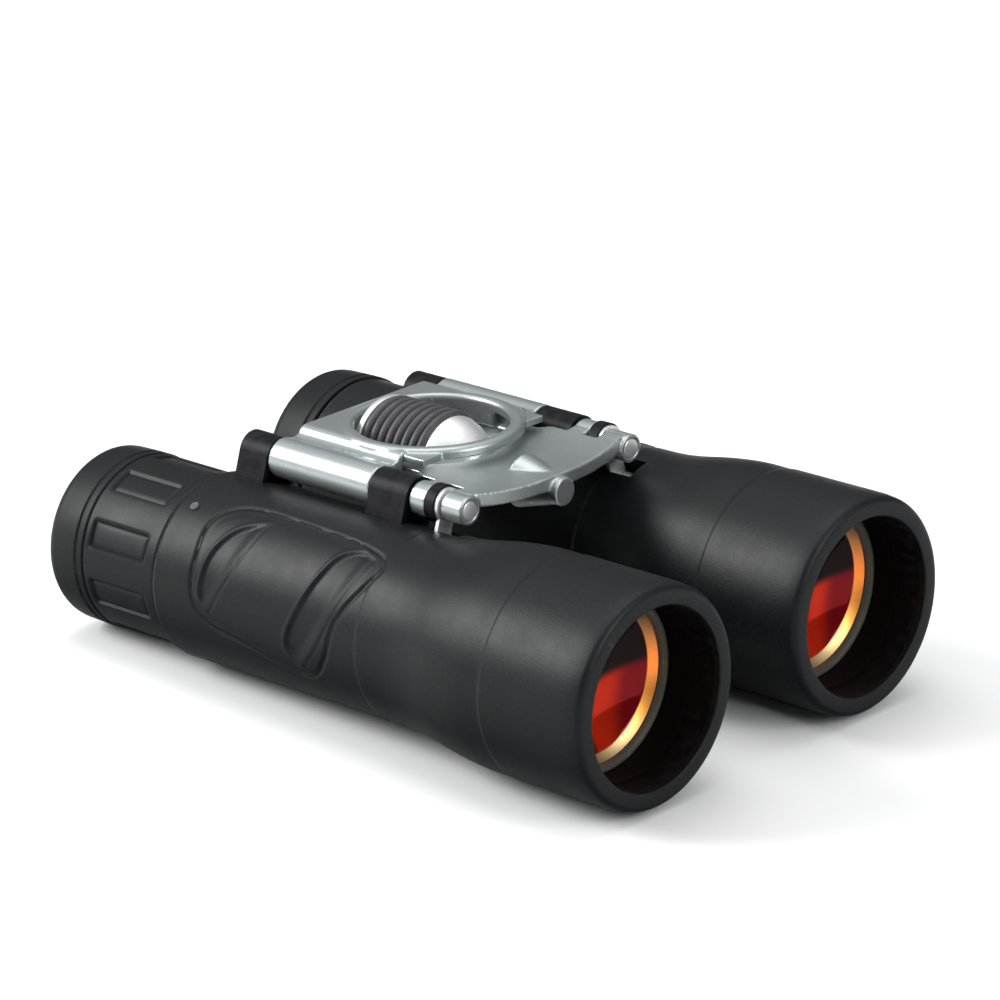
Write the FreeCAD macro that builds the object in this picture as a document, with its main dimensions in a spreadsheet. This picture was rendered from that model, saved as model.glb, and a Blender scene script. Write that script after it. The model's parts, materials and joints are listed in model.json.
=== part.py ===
import FreeCAD, Part
import math
import os

import Sketcher

# Compact roof-prism binoculars with a double-hinge bridge.
#
# Two rubber-armoured barrels hang from two steel rods under a cast bridge.
# The ribbed wheel in the bridge window turns a screw; the screw drives the front
# plate, which carries both rods fore and aft, and a thin arm beside each rod
# takes the movement through a slot in the barrel to the objective cell.
#
# Optical frame used while the parts are drawn (millimetres):
#   Y runs along the optical axes, 0 at the objective rims, growing to the eyecups
#   Z is up, 0 at the optical axes, X is to the right
# A barrel part is drawn about its own optical axis with its hinge straight above it.
# At the end every part is put in its place and the whole object is stood on z = 0.

os.makedirs("parts", exist_ok=True)
doc = FreeCAD.newDocument("Binoculars")
sheet = doc.addObject("Spreadsheet::Sheet", "Dims")


class Dim:
    """A size that knows both its number and its expression in the sheet."""

    def __init__(self, value, text=None):
        self.value = float(value)
        self.text = text if text else f"{float(value):.6g}"

    def _with(self, other, sign, value):
        other = to_dim(other)
        return Dim(value(self.value, other.value), f"({self.text} {sign} {other.text})")

    def __add__(self, other):
        return self._with(other, "+", lambda a, b: a + b)

    def __sub__(self, other):
        return self._with(other, "-", lambda a, b: a - b)

    def __mul__(self, other):
        return self._with(other, "*", lambda a, b: a * b)

    def __truediv__(self, other):
        return self._with(other, "/", lambda a, b: a / b)

    def __radd__(self, other):
        return to_dim(other) + self

    def __neg__(self):
        return Dim(-self.value, f"(-{self.text})")


def to_dim(item):
    return item if isinstance(item, Dim) else Dim(item)


def cell(alias, value):
    """Store one driving dimension in the sheet and hand it back."""
    cell.row += 1
    sheet.set(f"A{cell.row}", alias.replace("_", " "))
    sheet.set(f"B{cell.row}", str(value))
    sheet.setAlias(f"B{cell.row}", alias)
    return Dim(value, f"Dims.{alias}")


cell.row = 0

# ---- driving dimensions ---------------------------------------------------------
# barrels
axis_gap = cell("axis_gap", 61.6)              # between the two optical axes, as stored
rim_r = cell("rim_radius", 22.2)               # widest part of the armour, at the objective
body_r = cell("body_radius", 19.05)            # armour over the prisms
rubber = cell("rubber_wall", 1.4)              # armour thickness
flare_front = cell("flare_front", 27.0)        # the armour narrows between these two
flare_back = cell("flare_back", 60.0)
body_end = cell("body_end", 115.8)
length = cell("overall_length", 147.5)
hood_r = cell("hood_radius", 18.0)             # recess in front of the objective
hood_depth = cell("hood_depth", 7.0)
bore_r = cell("cell_bore_radius", 17.65)       # the objective cell slides in this
bore_end = cell("cell_bore_end", 41.0)
inner_r = cell("prism_bore_radius", 16.2)
neck_r = cell("neck_radius", 16.0)             # the dioptre ring turns on this
neck_bore_r = cell("neck_bore_radius", 14.0)
neck_end = cell("neck_end", 124.0)
# double hinge
arm_reach = cell("hinge_reach", 24.1)          # optical axis to hinge rod
hinge_gap = cell("hinge_gap", 46.6)            # between the two rods
rod_r = cell("rod_radius", 2.0)
running = cell("running_clearance", 0.05)
tube_r = cell("knuckle_radius", 4.1)
tube_front = cell("knuckle_front", 77.0)
tube_back = cell("knuckle_back", 104.2)
lug_r = cell("lug_radius", 4.0)
front_lug_start = cell("front_lug_start", 66.9)
front_lug_end = cell("front_lug_end", 76.6)
rear_lug_start = cell("rear_lug_start", 104.6)
rear_lug_end = cell("rear_lug_end", 112.3)
washer_thick = cell("washer_thickness", 0.3)
# bridge
window_r = cell("window_radius", 15.5)
bezel_r = cell("bezel_radius", 18.5)
wheel_mid = cell("window_centre", 85.5)        # centre of the round window along Y
deck_top = cell("deck_top", 28.2)
deck_under = cell("deck_underside", 26.3)
channel_half = cell("channel_half_width", 17.3)
rail_bottom = cell("rail_bottom", 19.6)
base_bottom = cell("base_bottom", 18.5)
base_top = cell("base_top", 19.5)
screw_line = cell("base_screw_line", 18.9)     # base screws to either side of the middle
screw_front = cell("base_screw_front", 82.0)
screw_back = cell("base_screw_back", 100.0)
bezel_rise = cell("bezel_rise", 0.35)          # bezel above the deck
skirt_wall = cell("skirt_wall", 1.4)           # wall that closes the window behind the wheel
# focus wheel and front plate
screw_z = cell("screw_height", 21.1)           # focus screw above the optical axes
wheel_r = cell("wheel_radius", 9.9)
sleeve_front = cell("sleeve_front", 80.2)
sleeve_back = cell("sleeve_back", 97.0)
hub_front = cell("hub_front", 71.7)            # tip of the wheel's dome
rib_count = 9                                  # ribs round the sleeve
screw_r = cell("screw_radius", 2.0)
boss_face = cell("side_boss_face", 53.6)
boss_r = cell("boss_radius", 2.9)
boss_back = cell("side_boss_back", 59.0)
nose_face = cell("middle_boss_face", 50.2)
plate_thick = cell("plate_thickness", 2.8)
plate_back = cell("plate_back", 80.5)          # rear edge, inside the bridge channel
# objective carriage
lens_r = cell("lens_radius", 16.4)
clear_r = cell("clear_radius", 16.0)
cell_front = cell("cell_front", 12.4)
cell_back = cell("cell_back", 34.0)
cell_r = cell("cell_radius", 17.6)
strip_bottom = cell("strip_height", 15.1)
strip_half = cell("strip_half_width", 2.0)
strip_thick = cell("strip_thickness", 0.8)
focus_travel = cell("focus_travel", 5.0)       # how far the front plate can go forward
# eyepieces
cup_r = cell("cup_radius", 18.2)
cup_start = cell("cup_start", 136.5)
cup_round = cell("cup_round", 5.0)
cup_mouth_r = cell("cup_mouth_radius", 11.8)
grip_count = 9                                 # recessed pads around the dioptre ring
grip_offset = -5.4                             # first pad, in degrees from straight up
index_angle = -51.1                            # index dot, in degrees from straight up
index_y = cell("index_place", 111.1)
ocular_r = cell("ocular_radius", 13.95)
eye_lens_r = cell("eye_lens_radius", 11.5)
prism_width = cell("prism_width", 15.0)

hinge_z = Dim(math.sqrt(arm_reach.value ** 2 - ((axis_gap.value - hinge_gap.value) / 2) ** 2))
splay = math.degrees(math.asin((axis_gap.value - hinge_gap.value) / 2 / arm_reach.value))
arm_gap_y = boss_back + 0.1                    # the focus arm's eye starts here
collar_start = arm_gap_y + strip_thick + 0.1
collar_end = collar_start + 2.3
ear_start = collar_end + 0.1
ear_end = front_lug_start - 0.3

nodes = []                                     # (object, side) in the order they are made


# ---- drawing helpers ------------------------------------------------------------
def keep(obj, label, side="bridge"):
    """Name a finished part and remember where it belongs."""
    obj.Label = label
    nodes.append((obj, side))
    return obj


def bound(obj, **sizes):
    """Bind properties of an object to sheet expressions."""
    for name, size in sizes.items():
        obj.setExpression(name.replace("__", "."), to_dim(size).text)
    return obj


def pin_point(sketch, curve, end, x, y):
    """Fix one sketch point by its two coordinates, bound to the sheet."""
    for kind, size, axis in (("DistanceX", to_dim(x), -2), ("DistanceY", to_dim(y), -1)):
        if abs(size.value) < 1e-9:
            sketch.addConstraint(Sketcher.Constraint("PointOnObject", curve, end, axis))
            continue
        index = sketch.addConstraint(Sketcher.Constraint(kind, -1, 1, curve, end, size.value))
        sketch.setExpression(f"Constraints[{index}]", size.text)


def arc_between(start, end, radius):
    """A short arc from start to end; positive radius turns left, negative turns right."""
    chord = end.sub(start)
    middle = (start + end) / 2
    side = FreeCAD.Vector(-chord.y, chord.x, 0).normalize()
    lift = math.sqrt(max(radius ** 2 - (chord.Length / 2) ** 2, 0.0))
    centre = middle + side * (lift if radius > 0 else -lift)
    first, last = (start, end) if radius > 0 else (end, start)
    angles = [math.atan2(p.y - centre.y, p.x - centre.x) for p in (first, last)]
    circle = Part.Circle(centre, FreeCAD.Vector(0, 0, 1), abs(radius))
    return Part.ArcOfCircle(circle, *angles)


def outline(body, role, steps, offset=None):
    """A closed sketch: each step is (x, y) for a line or (x, y, radius) for an arc."""
    sketch = body.newObject("Sketcher::SketchObject", "Outline")
    plane = next(item for item in body.Origin.OriginFeatures if item.Role == role)
    sketch.AttachmentSupport = [(plane, "")]
    sketch.MapMode = "FlatFace"
    if offset is not None:
        sketch.setExpression("AttachmentOffset.Base.z", to_dim(offset).text)
    points = [FreeCAD.Vector(to_dim(s[0]).value, to_dim(s[1]).value, 0) for s in steps]
    ends = []
    for index, step in enumerate(steps):
        start, end = points[index - 1], points[index]
        if len(step) == 2:
            curve = sketch.addGeometry(Part.LineSegment(start, end))
            ends.append((curve, 1, 2))
            continue
        radius = to_dim(step[2])
        curve = sketch.addGeometry(arc_between(start, end, radius.value))
        ends.append((curve, 1, 2) if radius.value > 0 else (curve, 2, 1))
        size = Dim(abs(radius.value), radius.text if radius.value > 0 else f"(-{radius.text})")
        bend = sketch.addConstraint(Sketcher.Constraint("Radius", curve, size.value))
        sketch.setExpression(f"Constraints[{bend}]", size.text)
    for index, step in enumerate(steps):
        curve, _, finish = ends[index]
        after, begin, _ = ends[(index + 1) % len(steps)]
        sketch.addConstraint(Sketcher.Constraint("Coincident", curve, finish, after, begin))
        pin_point(sketch, curve, finish, step[0], step[1])
    return sketch


def new_body(name):
    return doc.addObject("PartDesign::Body", name)


def turned(name, steps):
    """A body turned about the Y axis from an outline in (y, radius)."""
    body = new_body(name)
    sketch = outline(body, "YZ_Plane", steps)
    turn = body.newObject("PartDesign::Revolution", "Turned")
    turn.Profile = sketch
    turn.ReferenceAxis = (sketch, ["H_Axis"])
    turn.Angle = 360
    body.Tip = turn
    return body


def turned_upright(name, steps, y):
    """A body turned about a vertical axis at the given y, from an outline in (radius, z)."""
    body = new_body(name)
    sketch = outline(body, "XZ_Plane", steps)
    turn = body.newObject("PartDesign::Revolution", "Turned")
    turn.Profile = sketch
    turn.ReferenceAxis = (sketch, ["V_Axis"])
    turn.Angle = 360
    body.Tip = turn
    return bound(body, Placement__Base__y=y)


def pad_along_y(body, steps, start, end):
    """Pad an (x, z) outline from y = start to y = end."""
    sketch = outline(body, "XZ_Plane", steps, -to_dim(start))
    pad = body.newObject("PartDesign::Pad", "Pad")
    pad.Profile = sketch
    pad.Reversed = True
    bound(pad, Length=to_dim(end) - start)
    body.Tip = pad
    return pad


def pad_along_z(body, steps, bottom, top):
    """Pad an (x, y) outline from z = bottom to z = top."""
    sketch = outline(body, "XY_Plane", steps, bottom)
    pad = body.newObject("PartDesign::Pad", "Pad")
    pad.Profile = sketch
    bound(pad, Length=to_dim(top) - bottom)
    body.Tip = pad
    return pad


def pad_along_x(body, steps, half_width):
    """Pad a (y, z) outline evenly to both sides of x = 0."""
    sketch = outline(body, "YZ_Plane", steps)
    pad = body.newObject("PartDesign::Pad", "Pad")
    pad.Profile = sketch
    pad.Midplane = True
    bound(pad, Length=to_dim(half_width) * 2)
    body.Tip = pad
    return pad


def rod_y(x, z, start, end, radius, name="Rod"):
    """A plain cylinder along Y."""
    rod = doc.addObject("Part::Cylinder", name)
    rod.Placement.Rotation = FreeCAD.Rotation(FreeCAD.Vector(1, 0, 0), -90)
    return bound(rod, Radius=radius, Height=to_dim(end) - start,
                 Placement__Base__x=x, Placement__Base__y=start, Placement__Base__z=z)


def rod_z(x, y, bottom, top, radius, name="Post"):
    """A plain cylinder along Z."""
    rod = doc.addObject("Part::Cylinder", name)
    return bound(rod, Radius=radius, Height=to_dim(top) - bottom,
                 Placement__Base__x=x, Placement__Base__y=y, Placement__Base__z=bottom)


def block(x0, x1, y0, y1, z0, z1, name="Block"):
    """A plain box between two corners."""
    box = doc.addObject("Part::Box", name)
    return bound(box, Length=to_dim(x1) - x0, Width=to_dim(y1) - y0, Height=to_dim(z1) - z0,
                 Placement__Base__x=x0, Placement__Base__y=y0, Placement__Base__z=z0)


def fused(name, pieces):
    joined = doc.addObject("Part::MultiFuse", name)
    joined.Shapes = pieces
    joined.Refine = True
    return joined


def grouped(name, pieces):
    """Several separate solids kept as one part."""
    group = doc.addObject("Part::Compound", name)
    group.Links = pieces
    return group


def cut(name, base, tools):
    """Take one or more tools out of a base."""
    result = doc.addObject("Part::Cut", name)
    result.Base = base
    result.Tool = tools[0] if len(tools) == 1 else fused(name + "Tools", tools)
    result.Refine = True
    return result


def common(name, base, tool):
    result = doc.addObject("Part::Common", name)
    result.Base = base
    result.Tool = tool
    return result


def tube(name, x, z, start, end, outer, inner):
    """A plain bush or ring along Y."""
    return cut(name, rod_y(x, z, start, end, outer), [rod_y(x, z, to_dim(start) - 1, to_dim(end) + 1, inner)])


def lens(name, start, radius, front_curve, edge, back_curve):
    """A lens about the Y axis: a glass disc shaped by one ball at each end.

    A curve is its surface's radius: positive bulges outwards, negative is hollow.
    start is the front of the cylindrical edge and edge is its width."""
    def sag(curve):
        size = abs(curve)
        depth = size - math.sqrt(size ** 2 - radius.value ** 2)
        return depth if curve > 0 else -depth

    def ball(middle, curve):
        round_end = doc.addObject("Part::Sphere", name + "_ball")
        return bound(round_end, Radius=abs(curve), Placement__Base__y=middle)

    spare = 1.0                                # the disc starts this much too long
    shape = rod_y(0, 0, to_dim(start) - (sag(front_curve) + spare if front_curve > 0 else 0),
                  to_dim(start) + edge + (sag(back_curve) + spare if back_curve > 0 else 0), radius)
    middles = ((to_dim(start) - sag(front_curve) + front_curve, front_curve),
               (to_dim(start) + edge + sag(back_curve) - back_curve, back_curve))
    for middle, curve in middles:
        shaped = ball(middle, curve)
        shape = common(name + "_blank", shape, shaped) if curve > 0 else cut(name + "_blank", shape, [shaped])
    return shape


# ---- barrels --------------------------------------------------------------------
def flare(front_radius, back_radius):
    """Two tangent arcs that take the wall from the wide rim to the slim body.

    They are listed from front to back, as steps that follow the point
    (flare_front, front_radius)."""
    run = flare_back - flare_front
    drop = to_dim(front_radius) - back_radius
    bend = (run * run + drop * drop) / (drop * 4)
    middle = ((flare_front + flare_back) / 2, (to_dim(front_radius) + back_radius) / 2)
    return bend, middle


def make_housing(side):
    """Rigid barrel tube with the two hinge lugs and the neck for the eyepiece."""
    outer_front = rim_r - rubber - 0.05
    outer_body = body_r - rubber - 0.05
    bend, middle = flare(outer_front, outer_body)
    shell_front = rubber + 0.2
    body = turned(side + "_housing_tube", [
        (shell_front, hood_r),
        (hood_depth, hood_r),
        (hood_depth, bore_r),
        (bore_end, bore_r),
        (bore_end, inner_r),
        (body_end - 4.6, inner_r),
        (body_end - 4.6, neck_bore_r),
        (neck_end, neck_bore_r),
        (neck_end, neck_r),
        (body_end - 0.1, neck_r),
        (body_end - 0.1, outer_body),
        (flare_back, outer_body),
        (middle[0], middle[1], -bend),
        (flare_front, outer_front, bend),
        (shell_front, outer_front),
    ])
    lug_foot = inner_r + 0.7
    for start, end in ((front_lug_start, front_lug_end), (rear_lug_start, rear_lug_end)):
        pad_along_y(body, [
            (-lug_r, lug_foot),
            (lug_r, lug_foot),
            (lug_r, arm_reach),
            (0, arm_reach + lug_r, lug_r),
            (-lug_r, arm_reach, lug_r),
        ], start, end)
    slot_back = collar_end - 1.2
    slot = block(-strip_half - 0.5, strip_half + 0.5, boss_back - focus_travel - 0.6, slot_back, 14, 21)
    hole = rod_y(0, arm_reach, front_lug_start - 1, rear_lug_end + 1, rod_r + running)
    return keep(cut(side + "HousingCut", body, [slot, hole]), side + "_barrel_housing", side)


def make_armour(side):
    """Rubber skin over the housing: it wraps round the rim and leaves room for the lugs."""
    skin_front = rim_r - rubber
    skin_body = body_r - rubber
    bend, middle = flare(rim_r, body_r)
    bend_in, middle_in = flare(skin_front, skin_body)
    body = turned(side + "_armour_skin", [
        (0, hood_r),
        (0, rim_r - 1.7),
        (1.3, rim_r - 0.35, -1.35),
        (4, rim_r, -12),
        (flare_front, rim_r),
        (middle[0], middle[1], -bend),
        (flare_back, body_r, bend),
        (body_end - 1.2, body_r),
        (body_end, body_r - 0.8, -1.4),
        (body_end, skin_body),
        (flare_back, skin_body),
        (middle_in[0], middle_in[1], -bend_in),
        (flare_front, skin_front, bend_in),
        (rubber + 0.1, skin_front),
        (rubber + 0.1, hood_r),
    ])
    room = 0.35
    tools = [
        block(-lug_r - room, lug_r + room, front_lug_start - room, front_lug_end + room, 14, 26),
        block(-lug_r - room, lug_r + room, rear_lug_start - room, rear_lug_end + room, 14, 26),
        block(-strip_half - 0.6, strip_half + 0.6, boss_back - focus_travel - 0.8, collar_end - 1.0, 14, 26),
    ]
    return keep(cut(side + "ArmourCut", body, tools), side + "_rubber_armour", side)


def make_prisms(side):
    """Roof-prism pair in its cage, the clip over it and the field stop behind it."""
    cage_start, cage_end = 64.5, 93.5
    half = prism_width / 2
    cage = cut(side + "CageCut",
               rod_y(0, 0, cage_start, cage_end, inner_r - 0.1),
               [block(-half - 0.1, half + 0.1, cage_start - 1, cage_end + 1, -12.6, 12.6),
                block(-strip_half - 1, strip_half + 1, cage_start - 1, cage_end + 1, 12, 18)])
    keep(cage, side + "_prism_cage", side)

    # first prism: square entrance face, 22.5 degree roof side, 45 degree exit side
    size = prism_width
    start, floor = 66.0, -10.6
    slant = 6.0
    first = new_body(side + "_half_penta_prism")
    pad_along_x(first, [
        (start, floor),
        (start + size + slant * 1.307, floor),
        (start + slant * 0.924, size + floor + slant * 0.383),
        (start, size + floor),
    ], half)
    keep(first, side + "_half_penta_prism", side)

    # roof prism: 45 degree wedge whose sloping back carries the right-angled roof
    face = 21.0
    tip_y, tip_z = start + 24.2, floor - 0.3
    low = face * math.sin(math.radians(45))
    roof = new_body(side + "_roof_wedge")
    pad_along_x(roof, [
        (tip_y, tip_z),
        (tip_y, tip_z + face),
        (tip_y - low, tip_z + low),
    ], half)
    roof_cuts = []
    for way in (-1, 1):
        slab = doc.addObject("Part::Box", "RoofSide")
        slab.Length, slab.Width, slab.Height = 30, 60, 20
        slope = FreeCAD.Rotation(FreeCAD.Vector(1, 0, 0), 22.5)
        tilt = FreeCAD.Rotation(FreeCAD.Vector(0, 1, 0), way * 45)
        corner = FreeCAD.Vector(-15, -30, 0)
        ridge = FreeCAD.Vector(0, tip_y - low / 2, tip_z + (face + low) / 2 + 0.2)
        turn = slope.multiply(tilt)
        slab.Placement = FreeCAD.Placement(ridge + turn.multVec(corner), turn)
        roof_cuts.append(slab)
    keep(cut(side + "RoofCut", roof, roof_cuts), side + "_roof_prism", side)

    clip = cut(side + "ClipCut",
               block(-3, 3, 70, 88, 12.75, 13.25),
               [rod_z(0, 79, 12, 14, 1.2)])
    keep(clip, side + "_prism_clip", side)
    keep(tube(side + "StopRing", 0, 0, 97, 98.4, inner_r - 0.05, 7.0), side + "_field_stop", side)


def make_carriage(side):
    """Objective cell with its lenses, and the thin arm that pulls it along."""
    seat = cell_front + 6.8
    keep(turned(side + "_objective_cell", [
        (cell_front, lens_r + 0.05),
        (seat, lens_r + 0.05),
        (seat, clear_r - 0.8),
        (seat + 1.2, clear_r - 0.8),
        (seat + 1.2, clear_r + 0.3),
        (cell_back - 1.4, clear_r + 0.3),
        (cell_back - 1.4, clear_r - 2.2),
        (cell_back, clear_r - 2.2),
        (cell_back, cell_r),
        (cell_front, cell_r),
    ]), side + "_objective_cell", side + "_carriage")
    keep(turned(side + "_objective_ring", [
        (cell_front + 0.2, clear_r + 0.25),
        (cell_front + 1.3, clear_r),
        (cell_front + 1.3, lens_r),
        (cell_front + 0.2, lens_r),
    ]), side + "_objective_ring", side + "_carriage")
    edge = cell_front + 1.45
    keep(lens(side + "_crown_lens", edge, lens_r, 75, 2.0, 58), side + "_crown_lens", side + "_carriage")
    flint = lens(side + "_flint_lens", edge + 2.05, lens_r, -58.5, 3.2, 220)
    keep(flint, side + "_flint_lens", side + "_carriage")
    strip_top = strip_bottom + strip_thick
    arm = fused(side + "ArmJoined", [
        block(-strip_half, strip_half, cell_back, arm_gap_y + strip_thick, strip_bottom, strip_top),
        block(-strip_half, strip_half, arm_gap_y, arm_gap_y + strip_thick, strip_bottom, arm_reach),
        rod_y(0, arm_reach, arm_gap_y, arm_gap_y + strip_thick, boss_r + 0.6),
    ])
    hole = rod_y(0, arm_reach, arm_gap_y - 1, arm_gap_y + 2, rod_r + running)
    keep(cut(side + "ArmCut", arm, [hole]), side + "_focus_arm", side + "_carriage")
    collar = tube(side + "CollarRing", 0, arm_reach, collar_start - 0.1, collar_end,
                  lug_r - 0.1, rod_r + running)
    keep(collar, side + "_arm_collar", side + "_carriage")


def make_ocular(side, rides_on):
    """Eyepiece lens cell: it slides in the neck on the right and stays put on the left."""
    start, end = 112.6, 138.0
    keep(turned(side + "_ocular_cell", [
        (start, eye_lens_r - 1.5),
        (start + 1.6, eye_lens_r - 1.5),
        (start + 1.6, eye_lens_r + 0.05),
        (end, eye_lens_r + 0.05),
        (end, ocular_r),
        (start, ocular_r),
    ]), side + "_ocular_cell", rides_on)
    keep(lens(side + "_field_lens", start + 1.7, eye_lens_r, 400, 2.2, 26), side + "_field_lens", rides_on)
    keep(tube(side + "SpacerRing", 0, 0, start + 7.0, start + 12.5, eye_lens_r, eye_lens_r - 1.4),
         side + "_ocular_spacer", rides_on)
    keep(lens(side + "_eye_lens", start + 15.2, eye_lens_r, 24, 2.0, 60), side + "_eye_lens", rides_on)
    keep(tube(side + "EyeRing", 0, 0, start + 18.8, start + 20.6, eye_lens_r, eye_lens_r - 2.0),
         side + "_ocular_ring", rides_on)


def make_eyecup(side, rides_on):
    """Soft rubber cup with a rolled rim."""
    keep(turned(side + "_eyecup", [
        (cup_start, ocular_r + 0.45),
        (cup_start + 2.3, ocular_r + 0.45),
        (cup_start + 2.6, cup_mouth_r + 0.7),
        (length - 0.4, cup_mouth_r - 0.7),
        (length, cup_mouth_r),
        (length - 1.6, cup_r - 3.0, -6.2),
        (length - cup_round, cup_r, -6.2),
        (cup_start, cup_r),
    ]), side + "_eyecup", rides_on)


def make_eyepiece_sleeve(side, rides_on, outer, with_pads):
    """Outer sleeve round the neck; the right one turns and has recessed grip pads."""
    sleeve_start = body_end + 0.25
    body = turned(side + "_sleeve_blank", [
        (sleeve_start, outer - 0.8),
        (sleeve_start + 0.8, outer, -0.9),
        (cup_start - 0.05, outer),
        (cup_start - 0.05, ocular_r + 0.45),
        (neck_end + 0.3, ocular_r + 0.45),
        (neck_end + 0.3, neck_r + running),
        (sleeve_start, neck_r + running),
    ])
    if not with_pads:
        return keep(body, side + "_eyepiece_sleeve", rides_on)
    pads = []
    for index in range(grip_count):
        pad = doc.addObject("Part::Box", "GripPad")
        pad.Length, pad.Width, pad.Height = 6.2, 15.4, 2.0
        turn = FreeCAD.Rotation(FreeCAD.Vector(0, 1, 0), 360.0 * index / grip_count + grip_offset)
        corner = turn.multVec(FreeCAD.Vector(-3.1, 0, outer.value - 0.85))
        pad.Placement = FreeCAD.Placement(corner + FreeCAD.Vector(0, body_end.value + 3.3, 0), turn)
        pads.append(pad)
    return keep(cut("DiopterCut", body, pads), "diopter_ring", rides_on)


def make_index_mark():
    """Small raised dot on the right armour that the dioptre ring is read against."""
    spot = doc.addObject("Part::Cylinder", "IndexPost")
    bound(spot, Radius=0.9, Height=0.6)
    turn = FreeCAD.Rotation(FreeCAD.Vector(0, 1, 0), index_angle)
    foot = turn.multVec(FreeCAD.Vector(0, 0, body_r.value - 0.25))
    spot.Placement = FreeCAD.Placement(foot + FreeCAD.Vector(0, index_y.value, 0), turn)
    barrel_surface = rod_y(0, 0, index_y - 3, index_y + 3, body_r + 0.004)
    return keep(cut("IndexCut", spot, [barrel_surface]), "diopter_index", "right")


# ---- bridge ---------------------------------------------------------------------
def base_screw_places():
    """Where the four base screws stand, as (x, y)."""
    return [(screw_line * way, y) for way in (-1, 1) for y in (screw_front, screw_back)]


def make_bridge_cover():
    """Top casting: flat deck with a round bezel, hollow shoulders and the knuckle tubes."""
    half_gap = hinge_gap / 2
    body = new_body("cover_casting")
    ridge_x = channel_half - 0.6
    dip_angle = math.radians(60)
    dip_x = half_gap - tube_r * math.cos(dip_angle)
    dip_z = hinge_z + tube_r * math.sin(dip_angle)
    low_angle = math.radians(-50)
    low_x = half_gap - tube_r * math.cos(low_angle)
    low_z = hinge_z + tube_r * math.sin(low_angle)
    pad_along_y(body, [
        (-channel_half, rail_bottom),
        (-channel_half, deck_under),
        (channel_half, deck_under),
        (channel_half, rail_bottom),
        (channel_half + 1.6, rail_bottom),
        (low_x, low_z),
        (half_gap, hinge_z - tube_r, tube_r),
        (half_gap + tube_r, hinge_z, tube_r),
        (half_gap, hinge_z + tube_r, tube_r),
        (dip_x, dip_z, tube_r),
        (ridge_x + 1.9, deck_top - 1.3, -3.2),
        (ridge_x, deck_top, 2.2),
        (-ridge_x, deck_top),
        (-ridge_x - 1.9, deck_top - 1.3, 2.2),
        (-dip_x, dip_z, -3.2),
        (-half_gap, hinge_z + tube_r, tube_r),
        (-half_gap - tube_r, hinge_z, tube_r),
        (-half_gap, hinge_z - tube_r, tube_r),
        (-low_x, low_z, tube_r),
        (-channel_half - 1.6, rail_bottom),
    ], tube_front, tube_back)
    bezel_top = deck_top + bezel_rise
    bezel = turned_upright("bezel_ring", [
        (window_r - 2, deck_under),
        (bezel_r, deck_under),
        (bezel_r, bezel_top - 1.3),
        (bezel_r - 1.3, bezel_top, 1.3),
        (window_r - 2, bezel_top),
    ], wheel_mid)
    below, above = rail_bottom - 4.6, deck_top + 3.8
    window = turned_upright("window_tool", [
        (0, below),
        (window_r, below),
        (window_r, bezel_top - 0.9),
        (window_r + 0.9, bezel_top + 0.02, -0.95),
        (window_r + 0.9, above),
        (0, above),
    ], wheel_mid)
    apron = doc.addObject("Part::Box", "Apron")
    bound(apron, Length=channel_half * 2, Width=6.5, Height=deck_top - deck_under - 0.5,
          Placement__Base__x=-channel_half, Placement__Base__y=tube_front - 5.5,
          Placement__Base__z=deck_under)
    bite = 0.5                                 # how far the walls run into the deck
    back_wall = block(-channel_half - bite, channel_half + bite, tube_back - 3.0, tube_back,
                      base_top + 0.1, deck_under + bite)
    skirt_bottom = screw_z + 1.9
    front_half = block(-bezel_r, bezel_r, wheel_mid - bezel_r, wheel_mid - 2.0,
                       skirt_bottom - 1, deck_top, "SkirtFront")
    skirt = cut("SkirtCut",
                rod_z(0, wheel_mid, skirt_bottom, deck_under + bite, window_r + skirt_wall, "Skirt"),
                [front_half])
    joined = fused("CoverJoined", [body, bezel, apron, back_wall, skirt])
    tools = [
        window,
        rod_y(-half_gap, hinge_z, tube_front - 1, tube_back + 1, rod_r + 1.0),
        rod_y(half_gap, hinge_z, tube_front - 1, tube_back + 1, rod_r + 1.0),
        rod_y(0, screw_z, tube_back - 4, tube_back + 1, 2.6),
        rod_y(0, screw_z, sleeve_front - 3, sleeve_back + 2.3, wheel_r + 0.5),
    ]
    tools += [rod_z(x, y, base_bottom - 3, base_bottom + 5.6, 1.0) for x, y in base_screw_places()]
    return keep(cut("CoverCut", joined, tools), "bridge_cover")


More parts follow.
